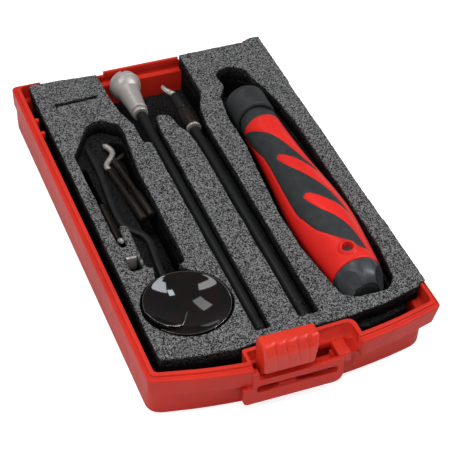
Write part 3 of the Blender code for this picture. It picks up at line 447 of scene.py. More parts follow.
def lathe_mesh(profile, steps=72, axis=(0, 0), turn=None, at=(0, 0, 0)):
    """A (radius, distance) profile turned about a line along y at (x, z); zero radius ends on it."""
    bm = bmesh.new()
    rings = []
    for radius, distance in profile:
        if radius < 1e-6:
            rings.append([bm.verts.new((0, distance, 0))])
        else:
            points = [(radius * math.sin(a), distance, radius * math.cos(a)) for a in full_turn(steps)]
            rings.append([bm.verts.new(point) for point in points])
    pairs = list(zip(rings, rings[1:]))
    if len(rings[0]) > 1 or len(rings[-1]) > 1:
        pairs.append((rings[-1], rings[0]))
    for one, two in pairs:
        for i in range(steps):
            j = (i + 1) % steps
            if len(one) == 1:
                bm.faces.new((one[0], two[j], two[i]))
            elif len(two) == 1:
                bm.faces.new((one[i], one[j], two[0]))
            else:
                bm.faces.new((one[i], one[j], two[j], two[i]))
    if turn:
        bmesh.ops.transform(bm, matrix=turn, verts=bm.verts)
    bmesh.ops.translate(bm, vec=(axis[0] + at[0], at[1], axis[1] + at[2]), verts=bm.verts)
    return bm


def sweep_mesh(stations, steps=20):
    """A bar along stations of (x, y, z, half width, half thickness)."""
    points = [Vector(s[:3]) for s in stations]
    loops = []
    side = Vector((1, 0, 0))
    for i, station in enumerate(stations):
        along = (points[min(i + 1, len(points) - 1)] - points[max(i - 1, 0)]).normalized()
        side = (side - along * side.dot(along)).normalized()
        up = side.cross(along)
        wide, thick = station[3:]
        angles = full_turn(steps)
        loops.append([points[i] + side * (wide * math.cos(a)) + up * (thick * math.sin(a)) for a in angles])
    return loft_mesh(loops)


def box_mesh(low, high, edge=0.0):
    """A box whose edges are rounded by the given radius."""
    bm = bmesh.new()
    bmesh.ops.create_cube(bm, size=1.0)
    size = [b - a for a, b in zip(low, high)]
    middle = [(a + b) / 2 for a, b in zip(low, high)]
    bmesh.ops.scale(bm, vec=size, verts=bm.verts)
    bmesh.ops.translate(bm, vec=middle, verts=bm.verts)
    if edge:
        bmesh.ops.bevel(bm, geom=bm.edges[:], offset=edge, segments=3, profile=0.5, affect="EDGES")
    return bm


def combine(obj, bm, operation):
    """Applies one Boolean with a tool mesh, and drops the tool."""
    tool = to_object("tool", bm)
    modifier = obj.modifiers.new("cut", "BOOLEAN")
    modifier.operation = operation
    modifier.object = tool
    modifier.solver = "EXACT"
    settle(obj)
    bpy.data.objects.remove(tool)


def join_box(obj, low, high, edge):
    combine(obj, box_mesh(low, high, edge), "UNION")


def settle(obj):
    """Replaces an object's mesh with the result of its modifiers."""
    bpy.context.view_layer.update()
    graph = bpy.context.evaluated_depsgraph_get()
    mesh = bpy.data.meshes.new_from_object(obj.evaluated_get(graph))
    obj.modifiers.clear()
    obj.data = mesh


def reshape(obj, move):
    """Moves every vertex by a function of its place and normal, both in the tray's millimetres."""
    to_tray = TO_FRAME.inverted()
    mesh = obj.data
    normals = [Vector(v.normal) for v in mesh.vertices]
    for vertex, normal in zip(mesh.vertices, normals):
        place = to_tray @ vertex.co
        vertex.co = TO_FRAME @ move(place, normal)
    mesh.update()


# ---------------------------------------------------------------- tray

def tray_loop(left, right, front, bow, back, z, front_radii=(2.5, 2.5), back_radius=2.5):
    """One level of the tray: straight sides and back, and a front that bows outwards."""
    middle = (left + right) / 2
    half = (right - left) / 2
    inset = 0.14 * (right - left)
    xs = np.linspace(left + inset, right - inset, 33)
    front_line = [(x, front - bow * (1 - ((x - middle) / half) ** 2)) for x in xs]
    corners = [(left, front), (right, front), (right, back), (left, back)]
    outline = fillet(corners[3], corners[0], front_line[0], front_radii[0], 9)
    outline += front_line
    outline += fillet(front_line[-1], corners[1], corners[2], front_radii[1], 9)
    outline += fillet(corners[1], corners[2], corners[3], back_radius, 9)
    outline += fillet(corners[2], corners[3], corners[0], back_radius, 9)
    return [(x, y, z) for x, y in outline]


def soften_loops(loops, radius, steps=3):
    """Rounds the corner that each inner loop makes with its neighbours."""
    result = [loops[0]]
    for before, here, after in zip(loops, loops[1:], loops[2:]):
        arcs = [fillet(a, b, c, radius, steps) for a, b, c in zip(before, here, after)]
        result.extend([[arc[i] for arc in arcs] for i in range(steps + 1)])
    result.append(loops[-1])
    return result


NICHE_LEFT = 34.0
NICHE_RIGHT = 75.8
NICHE_BACK = 0.4
NICHE_SLANT = 2.2
NICHE_DEPTH = 8.6
NICHE_WALL = 1.5
APRON_LEFT = 29.4
APRON_RIGHT = 68.4
APRON_FRONT = -11.8
APRON_BACK = -9.6
APRON_LOW = -16.6
APRON_HIGH = -5.5
BACK_DROP = 3.4
BAY_LEFT = 34.2
BAY_RIGHT = 72.5


def tray_shell_mesh():
    """Loops from the inner floor up the wall, over the stepped rim and its groove, and down the outside."""
    width, length = CAVITY_WIDTH, CAVITY_LENGTH
    lower = (6.5, 8.5)
    low_back = length - 2.4
    outer_right = width + RIGHT_RIM
    outer_back = length + BACK_RIM
    loops = [
        tray_loop(0.9, LOWER_RIGHT, 0.9, 5.6, low_back, FLOOR_TOP, lower),
        tray_loop(0.4, LOWER_RIGHT + 0.8, 0.3, 5.8, low_back + 0.2, -LEDGE_DEPTH - 0.6, lower),
        tray_loop(0.2, LOWER_RIGHT + 1.2, 0.2, 6.0, low_back + 0.4, -LEDGE_DEPTH - 0.05, lower),
        tray_loop(0.0, width, 0.0, FRONT_BOW, length, -LEDGE_DEPTH),
        tray_loop(0.0, width, 0.0, FRONT_BOW, length, -0.2),
        tray_loop(-0.2, width + 0.2, -0.2, FRONT_BOW, length + 0.1, 0.0),
        tray_loop(-1.7, width + 1.0, -1.5, FRONT_BOW + 0.2, length + 0.5, 0.0),
        tray_loop(-1.8, width + 1.1, -1.6, FRONT_BOW + 0.3, length + 0.6, -GROOVE_DEPTH),
        tray_loop(-2.6, width + 1.7, -2.4, FRONT_BOW + 0.7, length + 0.9, -GROOVE_DEPTH),
        tray_loop(-2.8, width + 1.8, -2.6, FRONT_BOW + 0.8, length + 1.0, -GROOVE_DEPTH + 0.5),
        tray_loop(-3.4, outer_right - 0.2, -3.3, FRONT_BOW + 1.2, outer_back - 0.2, -GROOVE_DEPTH + 0.5),
        tray_loop(-LEFT_RIM, outer_right, -3.5, FRONT_BOW + 1.3, outer_back, -GROOVE_DEPTH),
        tray_loop(-3.4, outer_right - 2.0, -3.1, FRONT_BOW + 1.2, outer_back - 0.2, -FLANGE_HEIGHT),
        tray_loop(-3.1, LOWER_RIGHT + 2.2, -2.2, 6.3, length - 1.0, -FLANGE_HEIGHT - 0.2, lower),
        tray_loop(-2.8, LOWER_RIGHT + 1.8, -1.8, 6.2, length - 1.2, -TRAY_HEIGHT + 1.2, lower),
        tray_loop(-1.8, LOWER_RIGHT + 0.8, -0.9, 6.2, length - 2.2, -TRAY_HEIGHT, lower),
    ]
    return loft_mesh(soften_loops(loops, 0.28))


def add_niche(tray):
    """Opens the front rim for the latch, and lines the opening with a wall, a skirt and a shelf."""
    left, right, back = NICHE_LEFT, NICHE_RIGHT, NICHE_BACK
    rear = back + NICHE_WALL
    left_back = back - NICHE_SLANT
    left_rear = rear - NICHE_SLANT
    opening = [(left, -16.0), (right, -16.0), (right, back), (left, left_back)]
    combine(tray, prism_mesh(opening, -NICHE_DEPTH, 2.0), "DIFFERENCE")
    outside = left - 1.2
    liner = [
        (outside, -7.5, 0), (left, -7.5, 0), (left, left_back, 1.0), (right, back, 4.0), (right, -7.0, 0),
        (right + 1.6, -7.0, 0), (right + 1.6, rear, 5.0), (outside, left_rear, 1.0),
    ]
    combine(tray, prism_mesh(rounded(liner, 0), -LEDGE_DEPTH - 1.8, 0.0), "UNION")
    skirt = [
        (left + 0.1, left_back + 0.1), (right - 0.2, back + 0.1), (right - 0.2, rear - 0.2),
        (left + 0.1, left_rear - 0.2),
    ]
    combine(tray, prism_mesh(skirt, -TRAY_HEIGHT + 0.6, -5.0), "UNION")
    shelf = [
        (left - 0.2, -3.1), (right + 0.2, -3.1), (right + 0.2, back + 0.2), (left - 0.2, left_back + 0.2),
    ]
    combine(tray, prism_mesh(shelf, -7.5, -5.1), "UNION")
    combine(tray, box_mesh((36.0, -9.6, -12.2), (64.2, -7.3, -8.7), 0.3), "DIFFERENCE")


def add_apron(tray):
    """The apron under the niche, the two webs behind it, its right-hand post, and a stop in its slot."""
    combine(tray, apron_mesh(), "UNION")
    for x in (APRON_LEFT + 3.2, APRON_RIGHT - 1.5):
        join_box(tray, (x - 1.2, -10.5, -13.5), (x + 1.2, -4.0, -FLANGE_HEIGHT + 0.5), 0.3)
    join_box(tray, (APRON_RIGHT - 1.7, -10.6, -9.0), (APRON_RIGHT + 3.4, -2.6, -4.4), 0.5)
    join_box(tray, (APRON_RIGHT + 2.9, -8.6, -9.0), (NICHE_RIGHT + 0.4, -2.6, -6.0), 0.4)
    join_box(tray, (43.4, -10.9, -13.0), (50.6, -7.0, -10.4), 0.9)


def build_tray():
    """The tray: its shell, the latch niche and apron, two tabs inside the left wall, and a low back."""
    tray = to_object("tray_shell_visual", tray_shell_mesh())
    add_niche(tray)
    add_apron(tray)
    for y in (146.3, 155.7):
        join_box(tray, (-0.4, y - 0.9, -3.2), (1.6, y + 0.9, -0.2), 0.35)
    back = CAVITY_LENGTH
    drop = box_mesh((9.0, back - 2.0, -BACK_DROP), (CAVITY_WIDTH - 5.0, back + 4.0, 2.0))
    combine(tray, drop, "DIFFERENCE")
    join_box(tray, (BAY_LEFT + 3.4, back - 0.05, -4.6), (BAY_RIGHT - 0.2, back + 1.25, -1.3), 0.35)
    add_hinge_lugs(tray)
    stand_for(tray, "tray_shell")


def apron_mesh():
    """The upright plate under the niche, with a long slot, and a post up to the rim at its left."""
    post = NICHE_LEFT - 0.9
    corners = [(APRON_LEFT, APRON_LOW, 2.4), (APRON_RIGHT, APRON_LOW, 4.2), (APRON_RIGHT, APRON_HIGH, 0.6)]
    corners += [(post + 2.2, APRON_HIGH, 0.4), (post + 2.2, -1.3, 0.4), (post, -1.3, 0.4)]
    corners += [(post, -8.9, 0), (APRON_LEFT, -8.9, 0.4)]
    slot = rounded([(34.6, -11.6), (66.2, -11.6), (66.2, -8.3), (34.6, -8.3)], 1.5)
    bm = prism_mesh(rounded(corners, 0), 0.0, APRON_BACK - APRON_FRONT, holes=[slot])
    bmesh.ops.transform(bm, matrix=Matrix.Translation((0, APRON_BACK, 0)) @ UPRIGHT, verts=bm.verts)
    return bm


def add_hinge_lugs(tray):
    """Two short round lugs with a pin bore, low on the back wall."""
    sideways = Matrix.Rotation(math.radians(-90), 4, "Z")
    y, z = CAVITY_LENGTH + 2.9, -6.0
    for x in (16.0, CAVITY_WIDTH - 18.0):
        lug = eased([(0.0, -6.0), (1.9, -6.0), (1.9, 6.0), (0.0, 6.0)], 0.4)
        combine(tray, lathe_mesh(lug, 32, turn=sideways, at=(x, y, z)), "UNION")
        bore = [(0.0, -8.0), (0.8, -8.0), (0.8, 8.0), (0.0, 8.0)]
        combine(tray, lathe_mesh(bore, 24, turn=sideways, at=(x, y, z)), "DIFFERENCE")


# ---------------------------------------------------------------- latch slider

def build_slider():
    """The thumb slider: a hooked block whose front lobes fade towards its wavy lower edge."""
    low, high = local_box("latch_slider")
    front, back, top = low.y, high.y, high.z
    leg_front = APRON_BACK + 0.5
    skirt = -2.4
    profile = [
        (leg_front, -8.0, 0.3), (back, -8.0, 0.3), (back, top, 1.1), (front + 2.6, top, 3.0),
        (front + 0.4, top - 4.4, 5.0), (front, skirt, 0.7), (leg_front, skirt, 0),
    ]
    outline = rounded(profile, 0, 10)
    lobes = 5
    grooves = lobes - 1
    pitch = (high.x - low.x) / lobes * 0.96
    first = low.x + 5.0
    loops = []
    for x in spread((low.x, high.x), 0.16):
        nearest = min(abs(x - first - pitch * i) for i in range(grooves))
        scoop = 1.25 * math.exp(-(nearest / 0.75) ** 2)
        edge = min(x - low.x, high.x - x)
        shrink = 0.9 * max(0.0, 1 - edge / 0.9) ** 2
        loop = []
        for y, z in outline:
            forward = max(0.0, min(1.0, (front + 4.2 - y) / 3.0))
            height = max(0.0, min(1.0, (z - skirt) / (top - skirt)))
            depth = scoop * forward * (0.08 + 0.92 * height ** 1.6)
            rim = shrink * (1.0 if z > skirt else 0.0)
            taper = 2.6 * max(0.0, (x - low.x - 16.0) / 6.0) * (1 - height) * forward
            lowered = z - rim * height - 0.4 * scoop * forward * height ** 6
            loop.append((x - taper, y + depth + rim * forward, lowered))
        loops.append(loop)
    slider = to_object("latch_slider_visual", loft_mesh(loops), 50)
    hollow = box_mesh((low.x + 1.8, -8.0, -9.0), (high.x - 1.8, back - 1.8, top - 3.0), 0.4)
    combine(slider, hollow, "DIFFERENCE")
    stand_for(slider, "latch_slider")


# ---------------------------------------------------------------- foam

FOAM_LEFT = 3.7
FOAM_FRONT = 4.9
FOAM_BOW = [(18.0, 1.7, 12), (33.0, 0.8, 4), (48.0, 2.4, 8), (79.0, 2.7, 8), (90.0, 3.9, 8)]
DISC_CENTRE = (22.8, 29.3)
DISC_RADIUS = 16.5


def handle_pocket(right_inset=0.0):
    """The handle's pocket; in a lower layer its right side lies further in."""
    corners = [
        (78.5, 14.1, 4), (84.0, 10.8, 4), (96.0, 10.8, 4), (100.8 - right_inset, 16.5, 4),
        (102.8 - right_inset, 35.0, 20), (103.0 - right_inset, 90.0, 20), (102.8 - right_inset, 112.0, 10),
        (101.4 - right_inset, 132.0, 6), (99.2, 145.4, 3), (96.7, 153.0, 2), (96.5, 160.0, 4),
        (91.0, 164.4, 4), (86.0, 164.0, 4), (82.4, 160.0, 3), (83.4, 151.3, 3), (79.2, 144.5, 4),
        (77.0, 128.0, 6), (77.6, 111.0, 8), (75.8, 90.6, 12), (74.0, 65.0, 12), (74.3, 43.7, 12),
        (77.0, 23.5, 8),
    ]
    return rounded(corners, 3)


def small_parts_pocket():
    """The disc pocket, the blade pocket and the neck between them as one opening."""
    turns = np.radians(np.linspace(-246, 66, 60))
    reach = DISC_RADIUS + 1.0
    disc = [(DISC_CENTRE[0] + reach * math.cos(a), DISC_CENTRE[1] + reach * math.sin(a)) for a in turns]
    blades = [
        (30.0, 50.0, 3), (30.2, 108.0, 10), (32.4, 134.0, 5), (32.0, 140.6, 3), (25.0, 146.6, 5),
        (19.0, 144.0, 5), (13.0, 134.0, 5), (8.4, 126.0, 5), (8.4, 70.0, 1.0), (9.4, 66.0, 0.8),
        (11.6, 66.4, 0.8), (12.2, 79.0, 1.5), (15.4, 78.0, 2), (14.6, 52.0, 3),
    ]
    return disc + rounded(blades, 2)


def open_bay_edge(back, rod_channels):
    """The foam edge where the rods' heads lie in a bay that opens through the back."""
    edge = [(BAY_RIGHT, back, 0), (72.4, 150.0, 8), (68.2, 140.6, 4), (67.0, 128.0, 4)]
    if rod_channels:
        edge += [(67.0, 8.6, 1.2), (58.8, 8.6, 1.2), (58.8, 119.5, 4)]
    else:
        edge += [(62.0, 124.0, 4)]
    edge += [(58.0, 125.5, 4), (55.4, 131.0, 4), (54.2, 140.0, 2.5), (48.6, 141.4, 2), (47.4, 130.0, 4)]
    if rod_channels:
        edge += [(47.3, 7.2, 1.2), (41.2, 7.2, 1.2), (41.2, 124.5, 0.6)]
    else:
        edge += [(44.0, 124.5, 1)]
    edge += [(37.9, 125.6, 0.8), (38.2, 138.0, 3), (35.0, 149.0, 4)]
    return edge + [(BAY_LEFT, 160.0, 6), (BAY_LEFT, back, 0)]


def crown_outline():
    """Where the foam swells over the rim along the right side."""
    edge = []
    for share in np.linspace(0.0, 1.0, 25):
        swell = 2.3 - 0.5 * math.sin(math.pi * share) ** 2
        edge.append((CAVITY_WIDTH + swell, 9.5 + 171.0 * share))
    return [(104.5, 9.5)] + edge + [(104.5, 180.5)]


def remesh(obj, voxel_mm):
    """Rebuilds a closed mesh as small even quads, ready for fine displacement."""
    modifier = obj.modifiers.new("even", "REMESH")
    modifier.mode = "VOXEL"
    modifier.voxel_size = voxel_mm * MM
    smooth = obj.modifiers.new("ease", "SMOOTH")
    smooth.factor = 0.5
    smooth.iterations = 2
    settle(obj)
    obj.data.shade_smooth()


def foam_surface(place, normal):
    """Soft waves along the cuts, and small pits of torn cells."""
    wave = noise.noise(place / 13.0) * 0.30 + noise.noise(place / 4.2) * 0.16
    pits = noise.noise(place / 1.3) * 0.14 + noise.noise(place / 0.62) * 0.12
    upright = 1.0 - abs(normal.z)
    return place + normal * (wave * (0.35 + 0.65 * upright) + pits)


def build_foam():
    """The foam insert: a cut top layer whose edges swell over the rim, and two layers under it."""
    back = CAVITY_LENGTH - 0.3
    right = CAVITY_WIDTH - 0.3
    low, high = local_box("foam_top")
    outline = [(FOAM_LEFT, FOAM_FRONT, 1), *FOAM_BOW, (right, 8.6, 2), (right, back, 4)]
    outline += open_bay_edge(back, rod_channels=True) + [(FOAM_LEFT, back, 2)]
    slot = rounded([(8.6, 52.4), (13.4, 52.4), (13.4, 60.6), (8.6, 60.6)], 0.6, 4)
    slit = rounded([(10.3, 161.0), (29.6, 161.8), (29.6, 163.6), (10.3, 162.8)], 0.4, 4)
    holes = [handle_pocket(), small_parts_pocket(), slot, slit]
    top = to_object("foam_top_visual", prism_mesh(rounded(outline, 1), low.z, high.z, holes))
    combine(top, prism_mesh(crown_outline(), high.z - 0.25, high.z + 0.7), "UNION")
    remesh(top, 0.5)

    def shape_top(place, normal):
        share = max(0.0, min(1.0, (place.x - 103.6) / 4.0))
        upper = max(0.0, min(1.0, (place.z - low.z) / (high.z - low.z)))
        if place.z > high.z:
            place = Vector((place.x, place.y, high.z + (place.z - high.z) * share * share * (3 - 2 * share)))
        towards_bay = (place.x - 5.0) / 28.0 if place.x < 50.0 else 0.0
        sag = max(0.0, towards_bay) * max(0.0, (place.y - 148.0) / 32.0) ** 2
        hollow = 2.2 * max(0.0, min(1.0, (place.x - 68.0) / 16.0)) * max(0.0, 1 - (place.y - 2.0) / 7.0)
        place = place + Vector((0.0, max(0.0, hollow) * (1 - upper) ** 0.7, -1.5 * sag * upper))
        return foam_surface(place, normal)

    reshape(top, shape_top)
    stand_for(top, "foam_top")

    middle_low, middle_high = local_box("foam_middle")
    middle_right, middle_back = middle_high.x, middle_high.y
    middle_left = middle_low.x
    outline = [(middle_left, FOAM_FRONT + 0.6, 3), (20.0, 3.2, 8), (34.0, 2.6, 3), (80.0, 2.6, 6)]
    outline += [(84.0, 1.7, 6), (93.0, 3.8, 6), (102.0, 6.2, 5), (middle_right, 9.8, 2)]
    outline += [(middle_right, middle_back, 3)]
    outline += open_bay_edge(middle_back, rod_channels=False) + [(middle_left, middle_back, 3)]
    deep = [
        (22.6, 48.0, 3), (30.0, 50.0, 3), (30.2, 108.0, 8), (32.2, 136.0, 4), (26.5, 140.0, 4),
        (26.5, 112.0, 4), (22.6, 100.0, 4),
    ]
    left_slot = [(8.6, 84.0, 1.5), (12.6, 84.0, 1.5), (12.6, 126.0, 1.5), (8.6, 124.0, 1.5)]
    holes = [handle_pocket(1.0), rounded(deep, 2), rounded(left_slot, 2)]
    middle = prism_mesh(rounded(outline, 1), middle_low.z, middle_high.z, holes)
    base_low, base_high = local_box("foam_base")
    base_outline = [
        (base_low.x, base_low.y, 6), (53.0, base_low.y, 0), (95.0, 5.0, 5), (base_high.x, 13.0, 5),
        (base_high.x, base_high.y, 3), (base_low.x, base_high.y, 3),
    ]
    base = prism_mesh(rounded(base_outline, 3), base_low.z, base_high.z)
    for node, mesh, voxel in (("foam_middle", middle, 0.8), ("foam_base", base, 1.0)):
        layer = to_object(f"{node}_visual", mesh)
        remesh(layer, voxel)
        reshape(layer, lambda place, normal: foam_surface(place, normal * 0.6))
        stand_for(layer, node)


# ---------------------------------------------------------------- handle

SHOULDERS = [
    (10, 8.4), (24, 10.0), (38, 11.3), (54, 12.3), (69, 11.7), (90, 9.8), (108, 8.7), (118, 8.4), (130, 8.3),
]
SHOULDER_CURVE = through(SHOULDERS)
CORE_START = 24.2
CORE_END = 121.2
GRIP_END = 124.8
BUTTON_Y = 30.4
BUTTON_TILT = math.radians(-9)

# The grip's pattern for one side of the handle, as (y, angle from the top in degrees) along the claw's
# two edges, and (angle, y) round each red window between its fingers.
CLAW_LEFT = [
    (22, 56), (28, 40), (30, 16), (33, 3), (36, -12), (41, -30), (46, -44), (54, -54), (61, -60), (95, -64),
    (103, -73), (111, -86), (119, -96), (126, -104),
]
CLAW_RIGHT = [
    (22, 44), (29, 42), (50, 46), (72, 46), (77.5, 42), (82, 38), (87, 29), (94, 18), (101, 5), (107, -10),
    (111, -28), (116, -55), (119, -78), (121, -96), (126, -140),
]
WINDOW_ONE = [
    (-34, 92.0), (-24, 93.2), (-7, 90.5), (8, 87), (22, 83.5), (36, 79.5), (48, 78), (66, 77),
    (66, 30), (58, 36), (40, 50), (26, 64), (11, 71.5), (-3, 77.5), (-17, 83), (-29, 88.6),
]
WINDOW_TWO = [
    (-30, 63.4), (-19, 64.4), (-4, 61), (9, 57.5), (25, 54), (40, 49), (66, 38),
    (66, 14), (40, 25), (26, 38.5), (15, 44), (0, 49), (-14, 53.5), (-24, 58.6),
]
MEAN_RADIUS = 11.0


def handle_radius(y):
    """The handle's radius at a distance along it, without the rubber's own height."""
    return float(np.interp(y, SHOULDER_CURVE[:, 0], SHOULDER_CURVE[:, 1]))


def outline_distance(points, outline):
    """Distance in millimetres from each point to a closed outline, negative inside it."""
    nearest = np.full(len(points), 1e9)
    inside = np.zeros(len(points), bool)
    for a, b in zip(outline, np.roll(outline, -1, axis=0)):
        edge = b - a
        share = np.clip(((points - a) @ edge) / max(edge @ edge, 1e-9), 0, 1)
        nearest = np.minimum(nearest, np.linalg.norm(points - a - share[:, None] * edge, axis=1))
        crosses = (a[1] > points[:, 1]) != (b[1] > points[:, 1])
        height = edge[1] if abs(edge[1]) > 1e-12 else 1e-12
        inside ^= crosses & (points[:, 0] < a[0] + edge[0] * (points[:, 1] - a[1]) / height)
    return np.where(inside, -nearest, nearest)


def unrolled(table, angle_first):
    """A pattern edge as smooth points of (arc length, y) on the handle's mean radius."""
    curve = through(table, 5)
    angles, ys = (curve[:, 0], curve[:, 1]) if angle_first else (curve[:, 1], curve[:, 0])
    return np.column_stack([np.radians(angles) * MEAN_RADIUS, ys])


def grip_distance(angles_deg, ys):
    """How far each point lies outside the rubber skin, in millimetres; negative on the rubber."""
    claw = np.vstack([unrolled(CLAW_LEFT, False), unrolled(CLAW_RIGHT, False)[::-1]])
    windows = [unrolled(table + table[:1], True)[:-1] for table in (WINDOW_ONE, WINDOW_TWO)]
    result = 120.6 - ys
    for turn in (0, 180):
        wrapped = (angles_deg - turn + 20 + 180) % 360 - 180 - 20
        points = np.column_stack([np.radians(wrapped) * MEAN_RADIUS, ys])
        side = outline_distance(points, claw)
        for window in windows:
            side = np.maximum(side, -outline_distance(points, window))
        result = np.minimum(result, side)
    return result


def on_handle(angle_deg, y, radius):
    """A point at an angle from the top, a distance along the handle and a radius from its axis."""
    x, z = HANDLE_AXIS
    a = math.radians(angle_deg)
    return (x + radius * math.sin(a), y, z + radius * math.cos(a))


HANDLE_AXIS = axis_of("chuck_collar")


def build_handle_body():
    """The red body: flush with the rubber in its windows, grooved along the joint, low under the skin."""
    ys = spread((CORE_START, CORE_END), 0.45)
    angles = np.arange(0, 360, 2.5)
    grid_angles, grid_ys = np.meshgrid(angles, ys)
    apart = grip_distance(grid_angles.ravel(), grid_ys.ravel()).reshape(grid_ys.shape)
    loops = []
    bore = 6.3
    start = [on_handle(a, CORE_START + 3.0, bore) for a in angles]
    loops += [start, [on_handle(a, CORE_START, bore) for a in angles]]
    loops.append([on_handle(a, CORE_START, handle_radius(CORE_START) - 0.5) for a in angles])
    for row, y in enumerate(ys):
        ring = []
        for column, a in enumerate(angles):
            d = apart[row, column]
            groove = 0.28 * math.exp(-((d - 0.1) / 0.35) ** 2)
            buried = 0.9 * max(0.0, min(1.0, (-d - 0.3) / 0.6))
            rear = 0.35 * max(0.0, 1 - (y - CORE_START) / 0.5)
            ring.append(on_handle(a, y, handle_radius(y) + 0.06 - groove - buried - rear))
        loops.append(ring)
    loops.append([on_handle(a, CORE_END, 4.7) for a in angles])
    body = to_object("handle_core_visual", loft_mesh(loops), 60)
    well = [(0.0, 3.6), (2.2, 3.6), (2.2, 14.0), (0.0, 14.0)]
    combine(body, button_mesh(well, 40), "DIFFERENCE")
    stand_for(body, "handle_core")
    build_button_rim()


def build_button_rim():
    """The raised ring round the release button, which follows the handle's swell."""
    rim_line = eased([(2.2, -3.4), (2.2, 0.72), (2.75, 0.85), (3.5, 0.25), (4.6, -0.35)], 0.5, 6)
    loops = []
    for turn in full_turn(48):
        ring = []
        for reach, height in rim_line:
            y = BUTTON_Y + reach * math.sin(turn)
            radius = handle_radius(y) + height
            angle = math.degrees(BUTTON_TILT + reach * math.cos(turn) / handle_radius(y))
            ring.append(on_handle(angle, y, radius))
        loops.append(ring)
    bm = bmesh.new()
    rings = [[bm.verts.new(point) for point in loop] for loop in loops]
    for one, two in zip(rings, rings[1:] + rings[:1]):
        for i in range(len(one) - 1):
            bm.faces.new((one[i], one[i + 1], two[i + 1], two[i]))
    add_piece(to_object("button_rim_visual", bm, 60), "handle_core")


def turn_lip_down(bm, depth):
    """Adds a strip from every open edge of the skin straight towards the handle's axis."""
    x, z = HANDLE_AXIS
    below = {}
    border = [edge for edge in bm.edges if edge.is_boundary]
    for vertex in (vertex for edge in border for vertex in edge.verts):
        if vertex not in below:
            out = Vector((vertex.co.x - x, 0, vertex.co.z - z)).normalized()
            below[vertex] = bm.verts.new(vertex.co - out * depth)
    for one, two in [edge.verts for edge in border]:
        bm.faces.new((one, two, below[two], below[one]))


def build_grip():
    """The rubber skin, cut along its claw pattern, with a rounded lip that turns down to the red body."""
    step_y, step_angle = 0.45, 2.0
    ys = np.append(spread((CORE_START + 1.2, GRIP_END - 0.4), step_y), GRIP_END)
    angles = np.arange(0, 360 + step_angle / 2, step_angle)
    grid_angles, grid_ys = np.meshgrid(angles, ys)
    apart = grip_distance(grid_angles.ravel(), grid_ys.ravel()).reshape(grid_ys.shape)
    bm = bmesh.new()
    corners, cuts = {}, {}

    def lifted(d):
        """Rounds the skin's edge: full height a little way in, lower at the cut itself."""
        inward = max(0.0, min(1.0, -d / 0.8))
        return 0.14 - 0.34 * (1 - inward) ** 2.5

    def corner(row, column):
        key = (row, column % (len(angles) - 1))
        if key not in corners:
            end_drop = 0.5 if row == len(ys) - 1 else 0.0
            radius = handle_radius(ys[row]) + lifted(apart[row, column]) - end_drop
            corners[key] = bm.verts.new(on_handle(angles[column], ys[row], radius))
        return corners[key]

    def cut(one, two):
        whole = len(angles) - 1
        key = tuple(sorted(((one[0], one[1] % whole), (two[0], two[1] % whole))))
        if key not in cuts:
            share = apart[one] / (apart[one] - apart[two])
            y = ys[one[0]] + (ys[two[0]] - ys[one[0]]) * share
            angle = angles[one[1]] + (angles[two[1]] - angles[one[1]]) * share
            cuts[key] = bm.verts.new(on_handle(angle, y, handle_radius(y) - 0.20))
        return cuts[key]

    for row in range(len(ys) - 1):
        for column in range(len(angles) - 1):
            square = [(row, column), (row, column + 1), (row + 1, column + 1), (row + 1, column)]
            face = []
            for one, two in zip(square, square[1:] + square[:1]):
                if apart[one] <= 0:
                    face.append(corner(*one))
                if (apart[one] <= 0) != (apart[two] <= 0):
                    face.append(cut(one, two))
            if len(face) > 2:
                bm.faces.new(face)
    turn_lip_down(bm, 0.75)
    skin = to_object("handle_grip_visual", bm, 60)
    stand_for(skin, "handle_overmold")
    neck = eased([(4.9, CORE_END + 0.4), (7.6, CORE_END + 0.4), (8.3, GRIP_END - 0.5), (7.9, GRIP_END),
                  (5.4, GRIP_END), (4.9, GRIP_END - 0.4)], 0.3)
    add_piece(to_object("handle_neck_visual", lathe_mesh(neck, 96, HANDLE_AXIS)), "handle_overmold")


def button_mesh(profile, steps):
    """A profile turned about the release button's axis."""
    turn = Matrix.Rotation(BUTTON_TILT, 4, "Y") @ UPRIGHT
    return lathe_mesh(profile, steps, turn=turn, at=(HANDLE_AXIS[0], BUTTON_Y, HANDLE_AXIS[1]))


def build_chuck():
    """The sliding collar with a rolled lip, and the steel socket inside it."""
    start, end = 128.0, 143.0
    outline = [
        (7.2, start + 0.2), (8.0, start), (8.9, start + 0.5), (9.1, start + 1.3), (9.05, start + 6.0),
        (9.1, end - 3.2), (8.9, end - 1.5), (8.2, end - 0.4), (7.0, end), (6.4, end), (6.0, end - 0.4),
        (6.0, 138.6), (5.1, 138.6), (5.1, 133.4), (7.2, 133.4),
    ]
    line = eased(outline, 0.45, 5)
    show("chuck_collar", lathe_mesh(line, 96, HANDLE_AXIS), 50)
    tube = [
        (2.45, 92.4), (4.6, 92.4), (4.6, 139.0), (4.1, 139.0), (4.1, 140.4), (4.6, 140.4), (4.6, 142.0),
        (4.2, 142.4), (2.9, 142.4), (2.45, 141.9),
    ]
    show("socket_tube", lathe_mesh(tube, 64, HANDLE_AXIS))


def build_collar_gap():
    """A dark sleeve over the spring that fills the gap between the grip's neck and the collar with painted
    shade.
    """
    line = eased([(6.45, 124.5), (6.95, 124.5), (6.95, 130.0), (6.45, 130.0)], 0.15, 3)
    # Painted shade: a dark piece where the gap only lies in shade.
    sleeve = to_object("collar_gap_painted_shade", lathe_mesh(line, 64, HANDLE_AXIS))
    add_piece(sleeve, "handle_core", "collar_black")


